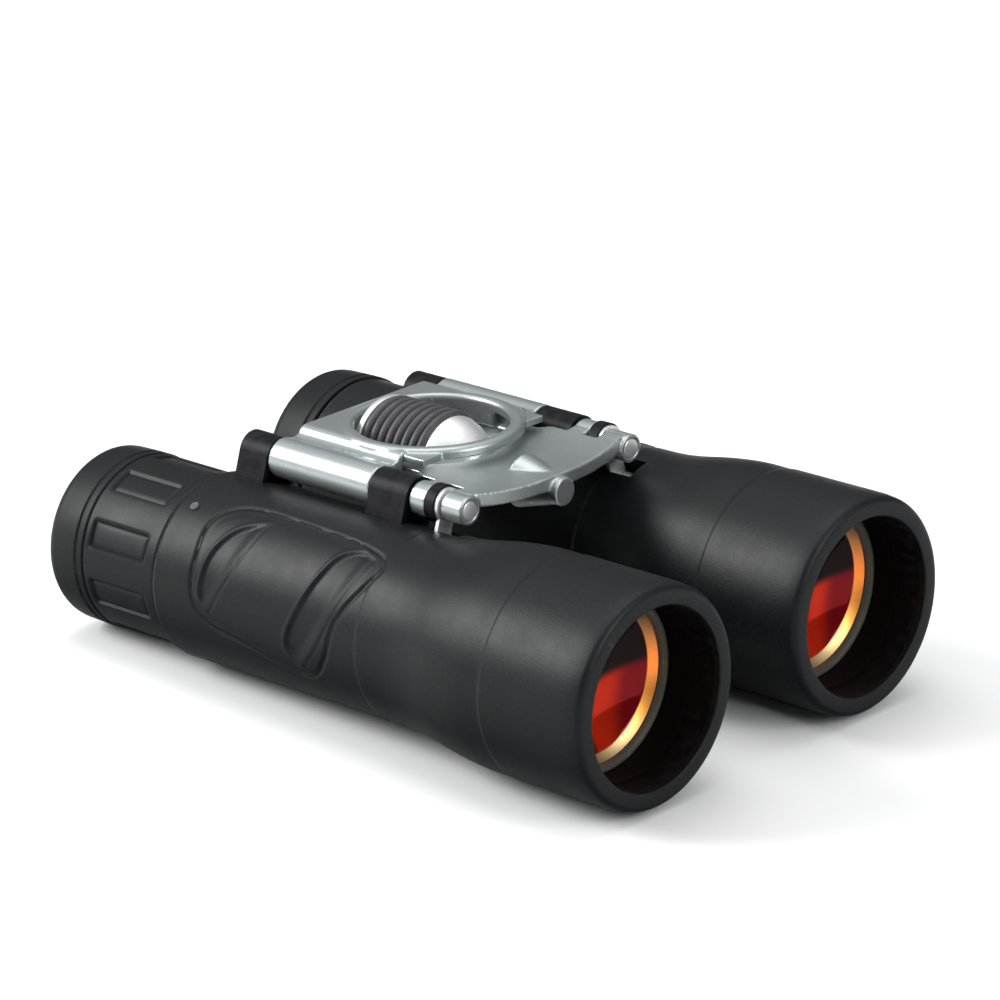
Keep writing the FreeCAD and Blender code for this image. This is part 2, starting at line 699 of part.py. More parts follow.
def make_bridge_parts():
    """Bottom plate, its screws, the tube bushes, hinge washers and the screw's rear bearing."""
    half_gap = hinge_gap / 2
    plate = block(-screw_line - 1.7, screw_line + 1.7, tube_front + 1, tube_back, base_bottom, base_top)
    wheel_slot = block(-wheel_r - 1.2, wheel_r + 1.2, tube_front, sleeve_back + 2.4, 10, 30)
    spindle_groove = rod_y(0, screw_z, tube_front, tube_back + 1, screw_r + 0.4)
    seats_cut = []
    screws = []
    for x, y in base_screw_places():
        seats_cut.append(rod_z(x, y, 10, 30, 1.1))
        seats_cut.append(rod_z(x, y, 10, base_bottom + 0.62, 1.75))
        head = rod_z(x, y, base_bottom, base_bottom + 0.6, 1.7)
        shank = rod_z(x, y, base_bottom + 0.3, base_bottom + 5.5, 0.98)
        slot = block(x - 2, x + 2, y - 0.2, y + 0.2, base_bottom - 1, base_bottom + 0.3)
        screws.append(cut("ScrewCut", fused("ScrewJoined", [head, shank]), [slot]))
    bearing_room = rod_y(0, screw_z, tube_back - 3.5, tube_back + 1, 2.65)
    keep(cut("BaseCut", plate, [wheel_slot, spindle_groove, bearing_room] + seats_cut), "bridge_base")
    keep(grouped("ScrewGroup", screws), "base_screws")
    bushes = [tube("BushRing", x, hinge_z, start, start + 8, rod_r + 0.98, rod_r + running)
              for x in (-half_gap, half_gap) for start in (tube_front, tube_back - 8)]
    keep(grouped("BushGroup", bushes), "hinge_bushes")
    gap = (front_lug_end + tube_front - washer_thick) / 2
    gap_back = (tube_back + rear_lug_start - washer_thick) / 2
    washers = [tube("WasherRing", x, hinge_z, start, start + washer_thick, tube_r - 0.4, rod_r + 0.15)
               for x in (-half_gap, half_gap) for start in (gap, gap_back)]
    keep(grouped("WasherGroup", washers), "hinge_washers")
    bearing = tube("BearingRing", 0, screw_z, tube_back - 3.4, tube_back + 0.5, 2.58, 1.5 + running)
    keep(bearing, "screw_bearing")


def make_wheel():
    """Ribbed rubber sleeve on a metal hub, turning the focus screw."""
    hub_back = sleeve_back + 1.5
    hub_outline = [
        (hub_front, 0),
        (hub_front, boss_r),
        (sleeve_front - 0.6, wheel_r - 1.0, -12.5),
        (sleeve_front, wheel_r - 0.8),
        (sleeve_front, wheel_r - 2.4),
        (sleeve_back, wheel_r - 2.4),
        (sleeve_back, wheel_r - 0.3),
        (hub_back, wheel_r - 0.3),
        (hub_back, 0),
    ]
    hub = turned("hub_blank", hub_outline)
    hub_cut = cut("HubCut", hub, [rod_y(0, 0, hub_front - 1, hub_back + 1, screw_r + 0.01)])
    keep(hub_cut, "wheel_hub", "wheel")
    pitch = (sleeve_back - sleeve_front - 0.2) / rib_count
    start = sleeve_front + 0.1
    steps = [(start, wheel_r - 2.38)]
    for index in range(rib_count):
        foot = start + pitch * index
        steps += [
            (foot + pitch * 0.08, wheel_r - 0.75),
            (foot + pitch * 0.26, wheel_r - 0.1),
            (foot + pitch * 0.74, wheel_r - 0.1, -1.1),
            (foot + pitch * 0.92, wheel_r - 0.75),
        ]
    steps.append((sleeve_back - 0.1, wheel_r - 2.38))
    keep(turned("wheel_sleeve", steps), "wheel_sleeve", "wheel")
    screw = turned("focus_screw", [
        (nose_face + 1.6, 0),
        (nose_face + 1.6, screw_r - 0.5),
        (nose_face + 2.1, screw_r),
        (hub_back + 1.6, screw_r),
        (hub_back + 1.6, 1.5),
        (tube_back + 0.4, 1.5),
        (tube_back + 0.4, 0),
    ])
    keep(screw, "focus_screw", "wheel")


def make_slider():
    """Front plate with its three bosses, the nut inside it and the two hinge rods."""
    half_gap = hinge_gap / 2
    wing = half_gap - 1.3
    side_top = deck_under - 0.45
    middle_top = screw_z + 3.4
    bend_top = 170.0
    section = new_body("plate_section")
    pad_along_y(section, [
        (-wing, side_top - plate_thick),
        (-4, middle_top - plate_thick, bend_top / 2),
        (4, middle_top - plate_thick),
        (wing, side_top - plate_thick, bend_top / 2),
        (wing, side_top),
        (4, middle_top, -bend_top / 2),
        (-4, middle_top),
        (-wing, side_top, -bend_top / 2),
    ], nose_face, plate_back + 3.5)
    shape = new_body("plate_outline")
    rear_gap = window_r.value - 0.3
    reach = 13.0
    rear_y = wheel_mid.value - math.sqrt(rear_gap ** 2 - reach ** 2)
    front_y = boss_face + 0.6
    lug_side = half_gap - lug_r - 0.5
    pad_along_z(shape, [
        (-wing, front_y + 0.9),
        (-wing + 1.2, front_y),
        (-3.2, nose_face + 1.4, 120),
        (3.2, nose_face + 1.4),
        (wing - 1.2, front_y, 120),
        (wing, front_y + 0.9),
        (wing, ear_end),
        (lug_side, ear_end),
        (lug_side, front_lug_start + 3.4),
        (channel_half - 0.4, front_lug_start + 6.2),
        (channel_half - 0.4, plate_back),
        (reach, rear_y + 2.6),
        (reach, rear_y),
        (-reach, rear_y, -rear_gap),
        (-reach, rear_y + 2.6),
        (-channel_half + 0.4, plate_back),
        (-channel_half + 0.4, front_lug_start + 6.2),
        (-lug_side, front_lug_start + 3.4),
        (-lug_side, ear_end),
        (-wing, ear_end),
    ], rail_bottom - 4.6, deck_top + 1.8)
    plate = common("PlateBlank", section, shape)
    pieces = [plate]
    for way in (-1, 1):
        x = half_gap * way
        pieces.append(rod_y(x, hinge_z, boss_face, boss_back, boss_r, "SideBoss"))
        pieces.append(rod_y(x, hinge_z, ear_start, ear_end, boss_r + 0.6, "RearEar"))
        low, high = (x, -wing + 1.6) if way < 0 else (wing - 1.6, x)
        web_bottom, web_top = side_top - plate_thick, side_top - 0.2
        pieces.append(block(low, high, boss_face + 1.0, boss_back, web_bottom, web_top, "BossWeb"))
        pieces.append(block(low, high, ear_start, ear_end, web_bottom, web_top, "EarWeb"))
    cone = doc.addObject("Part::Cone", "NutCone")
    cone.Placement.Rotation = FreeCAD.Rotation(FreeCAD.Vector(1, 0, 0), -90)
    bound(cone, Radius1=boss_r, Radius2=5.4, Height=9.0,
          Placement__Base__x=0, Placement__Base__y=nose_face + 2.0, Placement__Base__z=screw_z)
    pieces += [cone, rod_y(0, screw_z, nose_face, nose_face + 2.5, boss_r, "MiddleBoss")]
    joined = fused("PlateJoined", pieces)
    tools = [
        rod_y(0, screw_z, nose_face + 1.2, nose_face + 4, screw_r + 0.1, "ScrewRoom"),
        rod_y(0, screw_z, nose_face + 3.0, hub_front + 1.3, screw_r + 0.6, "NutBore"),
    ]
    for way in (-1, 1):
        tools.append(rod_y(half_gap * way, hinge_z, boss_face - 5, ear_end + 5, rod_r, "RodBore"))
        near, far = (wing - 3.0) * way, half_gap * 1.3 * way
        low, high = (far, near) if way < 0 else (near, far)
        tools.append(block(low, high, boss_back, ear_start, hinge_z - 8, hinge_z + 8, "CollarGap"))
    keep(cut("PlateCut", joined, tools), "slider_plate", "slider")
    keep(tube("NutRing", 0, screw_z, nose_face + 3.0, nose_face + 10.8, screw_r + 0.58, screw_r + running),
         "focus_nut", "slider")
    for side, way in (("right", -1), ("left", 1)):
        rod = rod_y(half_gap * way, hinge_z, boss_face + 0.02, rear_lug_end - 0.1, rod_r, side + "HingeRod")
        keep(grouped(side + "RodGroup", [rod]), side + "_hinge_rod", "slider")


# ---- assembly -------------------------------------------------------------------
for barrel in ("right", "left"):
    make_housing(barrel)
    make_armour(barrel)
    make_prisms(barrel)
    make_carriage(barrel)
make_ocular("right", "right_ocular")
make_ocular("left", "left")
make_eyepiece_sleeve("right", "diopter", cup_r - 0.2, True)
make_eyepiece_sleeve("left", "left", cup_r - 0.5, False)
make_eyecup("right", "diopter")
make_eyecup("left", "left")
make_index_mark()
make_bridge_cover()
make_bridge_parts()
make_wheel()
make_slider()
doc.recompute()

# Rest pose: the barrels splay evenly, and the whole stands on the rims and eyecups.
half_axis = axis_gap.value / 2
rest_tilt = math.degrees(math.asin((rim_r.value - cup_r.value) / (length.value - cup_round.value - 29.0)))
stand = FreeCAD.Placement(FreeCAD.Vector(0, 0, 0), FreeCAD.Rotation(FreeCAD.Vector(1, 0, 0), -rest_tilt))
seats = {"bridge": FreeCAD.Placement(), "wheel": FreeCAD.Placement(), "slider": FreeCAD.Placement()}
seats["wheel"] = FreeCAD.Placement(FreeCAD.Vector(0, 0, screw_z.value), FreeCAD.Rotation())
for barrel, way in (("right", -1), ("left", 1)):
    seat = FreeCAD.Placement(FreeCAD.Vector(half_axis * way, 0, 0),
                             FreeCAD.Rotation(FreeCAD.Vector(0, 1, 0), -splay * way))
    for name in (barrel, barrel + "_carriage", barrel + "_ocular"):
        seats[name] = seat
seats["diopter"] = seats["right"]


def place_all(lift):
    """Seat every part in the tilted object, which is lifted by a vector."""
    for obj, side in nodes:
        obj.Placement = FreeCAD.Placement(lift, FreeCAD.Rotation()).multiply(stand).multiply(seats[side])
    doc.recompute()


place_all(FreeCAD.Vector(0, 0, 0))
whole_box = FreeCAD.BoundBox()
for obj, side in nodes:
    whole_box.add(obj.Shape.optimalBoundingBox(False))
lift = FreeCAD.Vector(0, -(whole_box.YMin + whole_box.YMax) / 2, -whole_box.ZMin)
place_all(lift)

# ---- checks and files -----------------------------------------------------------
for obj in doc.Objects:
    if "Invalid" in obj.State or "Error" in obj.State:
        raise RuntimeError(f"{obj.Label} failed: {obj.State}")
for obj, side in nodes:
    if obj.Shape.isNull() or not obj.Shape.isValid():
        raise RuntimeError(f"{obj.Label} has no valid shape")
    obj.Shape.exportStep(f"parts/{obj.Label}.step")

axes = {
    "right hinge rod": (-hinge_gap.value / 2, 90, hinge_z.value),
    "left hinge rod": (hinge_gap.value / 2, 90, hinge_z.value),
    "focus screw": (0, 88, screw_z.value),
    "right optical axis": (-half_axis, 0, 0),
    "left optical axis": (half_axis, 0, 0),
}
for title, point in axes.items():
    spot = stand.multVec(FreeCAD.Vector(*point)) + lift
    print(f"{title:18s} {spot.x:9.4f} {spot.y:9.4f} {spot.z:9.4f}")
print(f"tilt {rest_tilt:.5f} splay {splay:.4f} nodes {len(nodes)}")
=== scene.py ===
"""Looks of the compact roof-prism binoculars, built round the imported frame.

Lengths inside the classes are millimetres, measured in two frames. The bridge frame
has Y along the optical axes (0 at the objective rims, growing towards the eyecups),
Z up and X to the side. A barrel frame is the same thing about one barrel's own
optical axis, with that barrel's hinge rod straight above it. Both are taken from the
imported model, and every mesh is turned into metres in the model's own frame.
"""

import json
import logging
import math
from collections.abc import Callable, Iterable, Sequence
from dataclasses import dataclass, field
from enum import Enum

import bmesh
import bpy
import numpy as np
from mathutils import Matrix, Vector


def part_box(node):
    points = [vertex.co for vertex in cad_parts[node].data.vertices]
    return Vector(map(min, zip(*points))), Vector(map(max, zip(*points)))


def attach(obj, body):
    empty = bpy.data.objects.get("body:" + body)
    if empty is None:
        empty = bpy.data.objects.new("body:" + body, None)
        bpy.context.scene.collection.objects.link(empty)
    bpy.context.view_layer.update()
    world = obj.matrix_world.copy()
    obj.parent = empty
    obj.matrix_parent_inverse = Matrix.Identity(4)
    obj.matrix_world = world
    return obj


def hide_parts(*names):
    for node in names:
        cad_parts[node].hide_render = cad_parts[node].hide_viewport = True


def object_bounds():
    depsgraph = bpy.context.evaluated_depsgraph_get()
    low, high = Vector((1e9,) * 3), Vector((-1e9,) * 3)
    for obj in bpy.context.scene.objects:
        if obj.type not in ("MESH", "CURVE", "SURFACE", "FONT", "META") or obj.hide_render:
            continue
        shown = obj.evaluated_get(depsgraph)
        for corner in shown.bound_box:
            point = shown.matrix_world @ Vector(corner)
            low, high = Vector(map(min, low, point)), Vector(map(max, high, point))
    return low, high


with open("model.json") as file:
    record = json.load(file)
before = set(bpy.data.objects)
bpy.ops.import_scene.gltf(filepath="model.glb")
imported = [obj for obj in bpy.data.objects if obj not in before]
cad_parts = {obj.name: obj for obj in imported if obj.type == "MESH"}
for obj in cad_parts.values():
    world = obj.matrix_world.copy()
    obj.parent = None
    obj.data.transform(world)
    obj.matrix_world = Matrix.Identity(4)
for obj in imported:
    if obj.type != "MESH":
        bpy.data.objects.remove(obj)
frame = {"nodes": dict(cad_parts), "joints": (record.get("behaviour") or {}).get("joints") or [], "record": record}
CAD_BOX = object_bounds()

MM = 0.001
ROUND = 144  # columns of a plain turned shape
LOG = logging.getLogger("binoculars")
Colour = tuple[float, float, float]
Profile = list[tuple[float, float]]


class Side(Enum):
    """The two barrels, as the user holds them."""

    RIGHT = "right"
    LEFT = "left"

    @property
    def outward(self) -> int:
        """Sign of X from the middle of the bridge to this barrel."""
        return -1 if self is Side.RIGHT else 1


class Slot(Enum):
    """The finishes that the record names."""

    ARMOUR = "armour_rubber"
    CUP = "cup_rubber"
    WHEEL = "wheel_rubber"
    BODY = "black_body"
    BLACK_METAL = "black_metal"
    SILVER = "satin_silver"
    STEEL = "bright_steel"
    BRASS = "brass"
    RUBY = "ruby_glass"
    GLASS = "clear_glass"
    INDEX = "index_white"


# ---- frames ---------------------------------------------------------------------
@dataclass(frozen=True)
class Places:
    """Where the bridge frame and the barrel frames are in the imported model.

    Attributes:
        cell_middle: distance in mm from the rims to the middle of an objective cell.
    """

    cell_middle: float = 23.2

    def axis(self) -> Vector:
        """Direction of the optical axes, from the objectives to the eyecups."""
        fold = next(j for j in frame["joints"] if j["name"] == "right_barrel_fold")
        return Vector(fold["axis"]).normalized()

    def rim_centre(self, side: Side) -> Vector:
        """Point where one optical axis crosses the plane of the rims, in metres.

        Args:
            side: the barrel.

        Returns:
            The point in the model's frame.
        """
        low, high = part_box(f"{side.value}_objective_cell")
        return (low + high) / 2 - self.axis() * self.cell_middle * MM

    def bridge(self) -> Matrix:
        """Matrix from the bridge frame in mm to the model in metres."""
        forward = self.axis()
        across = Vector((1, 0, 0))
        middle = (self.rim_centre(Side.RIGHT) + self.rim_centre(Side.LEFT)) / 2
        return _matrix(across, forward, across.cross(forward), middle)

    def barrel(self, side: Side) -> Matrix:
        """Matrix from a barrel's frame in mm to the model in metres.

        Args:
            side: the barrel.

        Returns:
            The matrix, with the hinge rod straight above the optical axis.
        """
        fold = next(j for j in frame["joints"] if j["name"] == f"{side.value}_barrel_fold")
        forward = self.axis()
        centre = self.rim_centre(side)
        reach = Vector(fold["pos_m"]) - centre
        up = (reach - forward * reach.dot(forward)).normalized()
        return _matrix(forward.cross(up), forward, up, centre)


def _matrix(x: Vector, y: Vector, z: Vector, origin: Vector) -> Matrix:
    """Frame matrix with these axes and this origin that also turns mm into metres.

    Args:
        x: first axis, of length one.
        y: second axis.
        z: third axis.
        origin: origin in metres.

    Returns:
        The 4 x 4 matrix.
    """
    turn = Matrix((x, y, z)).transposed().to_4x4()
    return Matrix.Translation(origin) @ turn @ Matrix.Scale(MM, 4)


# ---- mesh helpers ---------------------------------------------------------------
def softened(corners: Sequence[tuple[float, ...]], closed: bool = False, steps: int = 4) -> Profile:
    """Round the corners of a profile.

    Args:
        corners: (y, radius) or (y, radius, fillet) points in mm.
        closed: whether the last corner joins the first.
        steps: segments in each rounded corner.

    Returns:
        The profile with every fillet worked out as an arc.
    """
    out: Profile = []
    count = len(corners)
    for index, corner in enumerate(corners):
        here = np.array(corner[:2], float)
        fillet = corner[2] if len(corner) > 2 else 0.0
        if fillet <= 0 or (not closed and index in (0, count - 1)):
            out.append((float(here[0]), float(here[1])))
            continue
        before = np.array(corners[index - 1][:2], float) - here
        after = np.array(corners[(index + 1) % count][:2], float) - here
        room = 0.49 * min(np.hypot(*before), np.hypot(*after))
        before /= np.hypot(*before)
        after /= np.hypot(*after)
        half = math.acos(max(-1.0, min(1.0, float(before @ after)))) / 2
        if half > math.radians(89.5):
            out.append((float(here[0]), float(here[1])))
            continue
        back = min(fillet / math.tan(half), room)
        radius = back * math.tan(half)
        bisector = (before + after) / np.hypot(*(before + after))
        centre = here + bisector * radius / math.sin(half)
        first, last = here + before * back - centre, here + after * back - centre
        start = math.atan2(first[1], first[0])
        sweep = math.atan2(last[1], last[0]) - start
        sweep = (sweep + math.pi) % (2 * math.pi) - math.pi
        for step in range(steps + 1):
            angle = start + sweep * step / steps
            out.append((float(centre[0] + radius * math.cos(angle)),
                        float(centre[1] + radius * math.sin(angle))))
    return out


def smoothstep(value: np.ndarray) -> np.ndarray:
    """Smooth ramp from 0 to 1 as the value goes from 0 to 1."""
    t = np.clip(value, 0, 1)
    return t * t * (3 - 2 * t)


def bead(distance: np.ndarray, width: float) -> np.ndarray:
    """Rounded ridge of height 1 along distance 0."""
    return np.exp(-(distance / width) ** 2)


def object_from(name: str, mesh_data: bmesh.types.BMesh, place: Matrix,
                crease: float = 38.0) -> bpy.types.Object:
    """Turn a bmesh drawn in mm into a linked object with its creases marked.

    Args:
        name: the piece's name.
        mesh_data: the mesh, which is freed here.
        place: matrix from its frame in mm to the model in metres.
        crease: angle in degrees past which an edge is kept sharp.

    Returns:
        The new object.
    """
    bmesh.ops.recalc_face_normals(mesh_data, faces=mesh_data.faces)
    limit = math.radians(crease)
    for face in mesh_data.faces:
        face.smooth = True
    for edge in mesh_data.edges:
        if len(edge.link_faces) == 2:
            edge.smooth = edge.calc_face_angle(0.0) < limit
    mesh = bpy.data.meshes.new(name)
    mesh_data.to_mesh(mesh)
    mesh_data.free()
    mesh.transform(place)
    piece = bpy.data.objects.new(name, mesh)
    bpy.context.scene.collection.objects.link(piece)
    return piece


@dataclass(frozen=True)
class Opening:
    """A cut-out in the top of a turned shell.

    Attributes:
        start: where it starts along Y, in mm.
        end: where it ends along Y, in mm.
        half_angle: how far it reaches to each side of straight up, in degrees.
    """

    start: float
    end: float
    half_angle: float


@dataclass
class Lathe:
    """A shape turned about the Y axis of its frame.

    Attributes:
        profile: (y, radius) points in mm; a closed loop, or a line with both ends on the axis.
        columns: angles from straight up in degrees, growing towards +X.
        closed: whether the profile is a closed loop.
        relief: height in mm added along the radius, as a function of y and angle.
        relief_rows: how many profile points, from the first, take the relief.
    """

    profile: Profile
    columns: Sequence[float]
    closed: bool = False
    relief: Callable[[np.ndarray, np.ndarray], np.ndarray] | None = None
    relief_rows: tuple[int, int] = (0, 0)

    def radii(self) -> np.ndarray:
        """Radius of every point, profile point by profile point and column by column."""
        ys = np.array([p[0] for p in self.profile])
        rs = np.array([p[1] for p in self.profile])
        grid = np.repeat(rs[:, None], len(self.columns), axis=1)
        if self.relief is not None:
            first, last = self.relief_rows
            angle = np.array(self.columns)[None, :]
            grid[first:last] += self.relief(ys[first:last, None], angle)
        return grid

    def build(self, openings: Iterable[Opening] = (),
              twins: dict[int, int] | None = None) -> bmesh.types.BMesh:
        """Make the mesh.

        Args:
            openings: cut-outs that go through the wall.
            twins: for each outer profile point at a cut-out, the inner point behind it.

        Returns:
            The closed mesh in mm.
        """
        mesh = bmesh.new()
        radii = self.radii()
        angles = [math.radians(a) for a in self.columns]
        rows: list[list[bmesh.types.BMVert]] = []
        for (y, radius), ring in zip(self.profile, radii):
            if radius < 1e-6:
                rows.append([mesh.verts.new((0, y, 0))])
                continue
            rows.append([mesh.verts.new((r * math.sin(a), y, r * math.cos(a))) for r, a in zip(ring, angles)])
        gone = self._missing(openings, twins or {})
        count = len(self.columns)
        steps = len(rows) if self.closed else len(rows) - 1
        for i in range(steps):
            low, high = rows[i], rows[(i + 1) % len(rows)]
            for j in range(count):
                if (i, j) in gone:
                    continue
                k = (j + 1) % count
                corners = [low[j % len(low)], low[k % len(low)], high[k % len(high)], high[j % len(high)]]
                mesh.faces.new(list(dict.fromkeys(corners)))
        for opening in openings:
            self._wall(mesh, rows, opening, twins or {})
        return mesh

    def _span(self, opening: Opening) -> tuple[list[int], list[int]]:
        """Outer profile points and columns that a cut-out covers, its edges included.

        Args:
            opening: the cut-out.

        Returns:
            The profile indices and the column indices, in order round the shell.
        """
        first, last = self.relief_rows
        rows = [i for i in range(first, last)
                if opening.start - 1e-6 <= self.profile[i][0] <= opening.end + 1e-6]
        turned = [(a + 180) % 360 - 180 for a in self.columns]
        inside = [j for j, a in enumerate(turned) if abs(a) <= opening.half_angle + 1e-6]
        return rows, sorted(inside, key=lambda j: turned[j])

    def _missing(self, openings: Iterable[Opening], twins: dict[int, int]) -> set[tuple[int, int]]:
        """Cells left out for the cut-outs.

        Args:
            openings: the cut-outs.
            twins: inner profile point behind each outer one.

        Returns:
            Pairs of profile index and column index.
        """
        gone: set[tuple[int, int]] = set()
        for opening in openings:
            rows, columns = self._span(opening)
            for i in rows[:-1]:
                for j in columns[:-1]:
                    gone.add((i, j))
                    gone.add((twins[i + 1], j))
        return gone

    def _wall(self, mesh: bmesh.types.BMesh, rows: list[list[bmesh.types.BMVert]],
              opening: Opening, twins: dict[int, int]) -> None:
        """Close the edge of a cut-out between the outer and the inner skin.

        Args:
            mesh: the mesh that takes the faces.
            rows: its vertices, by profile point.
            opening: the cut-out.
            twins: inner profile point behind each outer one.
        """
        ys, columns = self._span(opening)
        edges = [((i, columns[0]), (k, columns[0])) for i, k in zip(ys, ys[1:])]
        edges += [((i, columns[-1]), (k, columns[-1])) for i, k in zip(ys, ys[1:])]
        edges += [((ys[0], j), (ys[0], k)) for j, k in zip(columns, columns[1:])]
        edges += [((ys[-1], j), (ys[-1], k)) for j, k in zip(columns, columns[1:])]
        for (i, j), (k, m) in edges:
            mesh.faces.new([rows[i][j], rows[k][m], rows[twins[k]][m], rows[twins[i]][j]])


def even_columns(count: int) -> list[float]:
    """Angles of that many columns, evenly round a turned shape."""
    return list(np.linspace(-180, 180, count, endpoint=False))


def column_angles(coarse: float, fine: float = 0.0, first: float = 0.0, last: float = 0.0,
                  exact: Iterable[float] = ()) -> list[float]:
    """Angles round a turned shell, closer together where it carries relief.

    Args:
        coarse: step in degrees elsewhere.
        fine: step in degrees between first and last.
        first: where the close columns start.
        last: where they end.
        exact: angles that have to be among them.

    Returns:
        Angles from -180 to 180 degrees.
    """
    angles = list(np.arange(-180, 180, coarse))
    if fine:
        angles = [a for a in angles if not first - coarse / 2 < a < last + coarse / 2]
        angles += list(np.arange(first, last + fine / 2, fine))
    for angle in exact:
        angles = [a for a in angles if abs(a - angle) > 0.35 * (fine or coarse)] + [angle]
    return sorted(float(a) for a in angles)


def dense(profile: Profile, step: float, low: float, high: float, exact: Iterable[float] = ()) -> Profile:
    """Put extra points on a profile between two places along Y.

    Args:
        profile: (y, radius) points with y growing.
        step: largest distance along Y between low and high.
        low: where the extra points start.
        high: where they end.
        exact: places along Y that have to be among the points.

    Returns:
        The profile with its extra points.
    """
    ys = np.array([p[0] for p in profile])
    rs = np.array([p[1] for p in profile])
    wanted = set(float(y) for y in ys) | set(float(y) for y in exact)
    wanted |= set(float(y) for y in np.arange(low, high, step))
    kept: list[float] = []
    pinned = set(float(y) for y in exact)
    for y in sorted(w for w in wanted if ys[0] <= w <= ys[-1]):
        if kept and y - kept[-1] < step * 0.35:
            if y not in pinned:
                continue
            if kept[-1] not in pinned:
                kept.pop()
        kept.append(y)
    return [(y, float(np.interp(y, ys, rs))) for y in kept]


def smooth_loop(points: Sequence[tuple[float, float]], closed: bool = True, parts: int = 9) -> np.ndarray:
    """Catmull-Rom curve through a few points.

    Args:
        points: the points to pass through.
        closed: whether the curve returns to its start.
        parts: pieces between two points.

    Returns:
        Points along the curve.
    """
    knots = [np.array(p, float) for p in points]
    if not closed:
        knots = [2 * knots[0] - knots[1]] + knots + [2 * knots[-1] - knots[-2]]
    count = len(knots)
    spans = range(count) if closed else range(1, count - 2)
    curve = []
    for index in spans:
        a, b, c, d = (knots[(index + shift) % count] for shift in (-1, 0, 1, 2))
        for t in np.linspace(0, 1, parts, endpoint=False):
            curve.append(0.5 * ((2 * b) + (c - a) * t + (2 * a - 5 * b + 4 * c - d) * t ** 2
                                + (3 * b - a - 3 * c + d) * t ** 3))
    if not closed:
        curve.append(knots[-2])
    return np.array(curve)


def distance_to(curve: np.ndarray, u: np.ndarray, v: np.ndarray, closed: bool = True) -> np.ndarray:
    """Distance from grid points to a curve.

    Args:
        curve: points along the curve.
        u: first coordinate of the grid points.
        v: second coordinate.
        closed: whether the curve returns to its start.

    Returns:
        The distances, in the units of the points.
    """
    best = np.full(u.shape, 1e9)
    ends = np.roll(curve, -1, axis=0) if closed else curve[1:]
    for start, end in zip(curve, ends):
        way = end - start
        share = ((u - start[0]) * way[0] + (v - start[1]) * way[1]) / max(float(way @ way), 1e-12)
        share = np.clip(share, 0, 1)
        gap = np.hypot(u - start[0] - share * way[0], v - start[1] - share * way[1])
        best = np.minimum(best, gap)
    return best


def inside_of(curve: np.ndarray, u: np.ndarray, v: np.ndarray) -> np.ndarray:
    """Whether grid points are inside a closed curve, by crossing counts.

    Args:
        curve: points along the closed curve.
        u: first coordinate of the grid points.
        v: second coordinate.

    Returns:
        True inside.
    """
    odd = np.zeros(u.shape, bool)
    for start, end in zip(curve, np.roll(curve, -1, axis=0)):
        if abs(end[1] - start[1]) < 1e-12:
            continue
        crosses = (start[1] > v) != (end[1] > v)
        at = start[0] + (v - start[1]) * (end[0] - start[0]) / (end[1] - start[1])
        odd ^= crosses & (u < at)
    return odd


# ---- shader groups --------------------------------------------------------------
class NodeTree:
    """A shader node tree while it is put together."""

    tree: bpy.types.NodeTree

    def feed(self, node: bpy.types.Node, inputs: dict[str | int, object]) -> bpy.types.Node:
        """Fill the inputs of a node.

        Args:
            node: the node.
            inputs: a socket or a plain value for each input, by name or number.

        Returns:
            The same node.
        """
        for title, item in inputs.items():
            target = node.inputs[title]
            if isinstance(item, bpy.types.NodeSocket):
                self.tree.links.new(item, target)
            elif isinstance(item, tuple):
                target.default_value = (*item, 1.0)[:len(target.default_value)]
            else:
                target.default_value = item
        return node

    def add(self, kind: str, inputs: dict[str | int, object] | None = None,
            **values: object) -> bpy.types.Node:
        """Add a node.

        Args:
            kind: its type.
            inputs: what its inputs are fed with.
            values: its properties by name.

        Returns:
            The node.
        """
        node = self.tree.nodes.new(kind)
        for title, value in values.items():
            setattr(node, title, value)
        return self.feed(node, inputs or {})

    def math(self, operation: str, *terms: object) -> bpy.types.NodeSocket:
        """Result of a Math node on sockets or numbers, in the node's own order."""
        return self.add("ShaderNodeMath", dict(enumerate(terms)), operation=operation).outputs[0]

    def place(self, kind: str = "Object") -> bpy.types.NodeSocket:
        """Place on the piece, in one of the texture coordinates."""
        return self.add("ShaderNodeTexCoord").outputs[kind]


class NodeGroup(NodeTree):
    """A shader node group that is built once and placed in many materials."""

    def __init__(self, name: str, inputs: dict[str, float], outputs: Sequence[str]) -> None:
        """Make an empty group.

        Args:
            name: name of the group.
            inputs: names of its number inputs and their defaults.
            outputs: names of its number outputs.
        """
        self.tree = bpy.data.node_groups.new(name, "ShaderNodeTree")
        for title, value in inputs.items():
            socket = self.tree.interface.new_socket(title, in_out="INPUT", socket_type="NodeSocketFloat")
            socket.default_value = value
        for title in outputs:
            self.tree.interface.new_socket(title, in_out="OUTPUT", socket_type="NodeSocketFloat")
        self.start = self.tree.nodes.new("NodeGroupInput")
        self.end = self.tree.nodes.new("NodeGroupOutput")

    def given(self, title: str) -> bpy.types.NodeSocket:
        """One of the inputs of the group."""
        return self.start.outputs[title]

    def output(self, title: str, value: bpy.types.NodeSocket) -> None:
        """Send a socket to one of the outputs."""
        self.feed(self.end, {title: value})

    def ramp(self, value: bpy.types.NodeSocket, low: object, high: object) -> bpy.types.NodeSocket:
        """Smooth ramp of a socket from 0 at low to 1 at high."""
        return self.add("ShaderNodeMapRange", {0: value, 1: low, 2: high},
                        interpolation_type="SMOOTHSTEP").outputs[0]


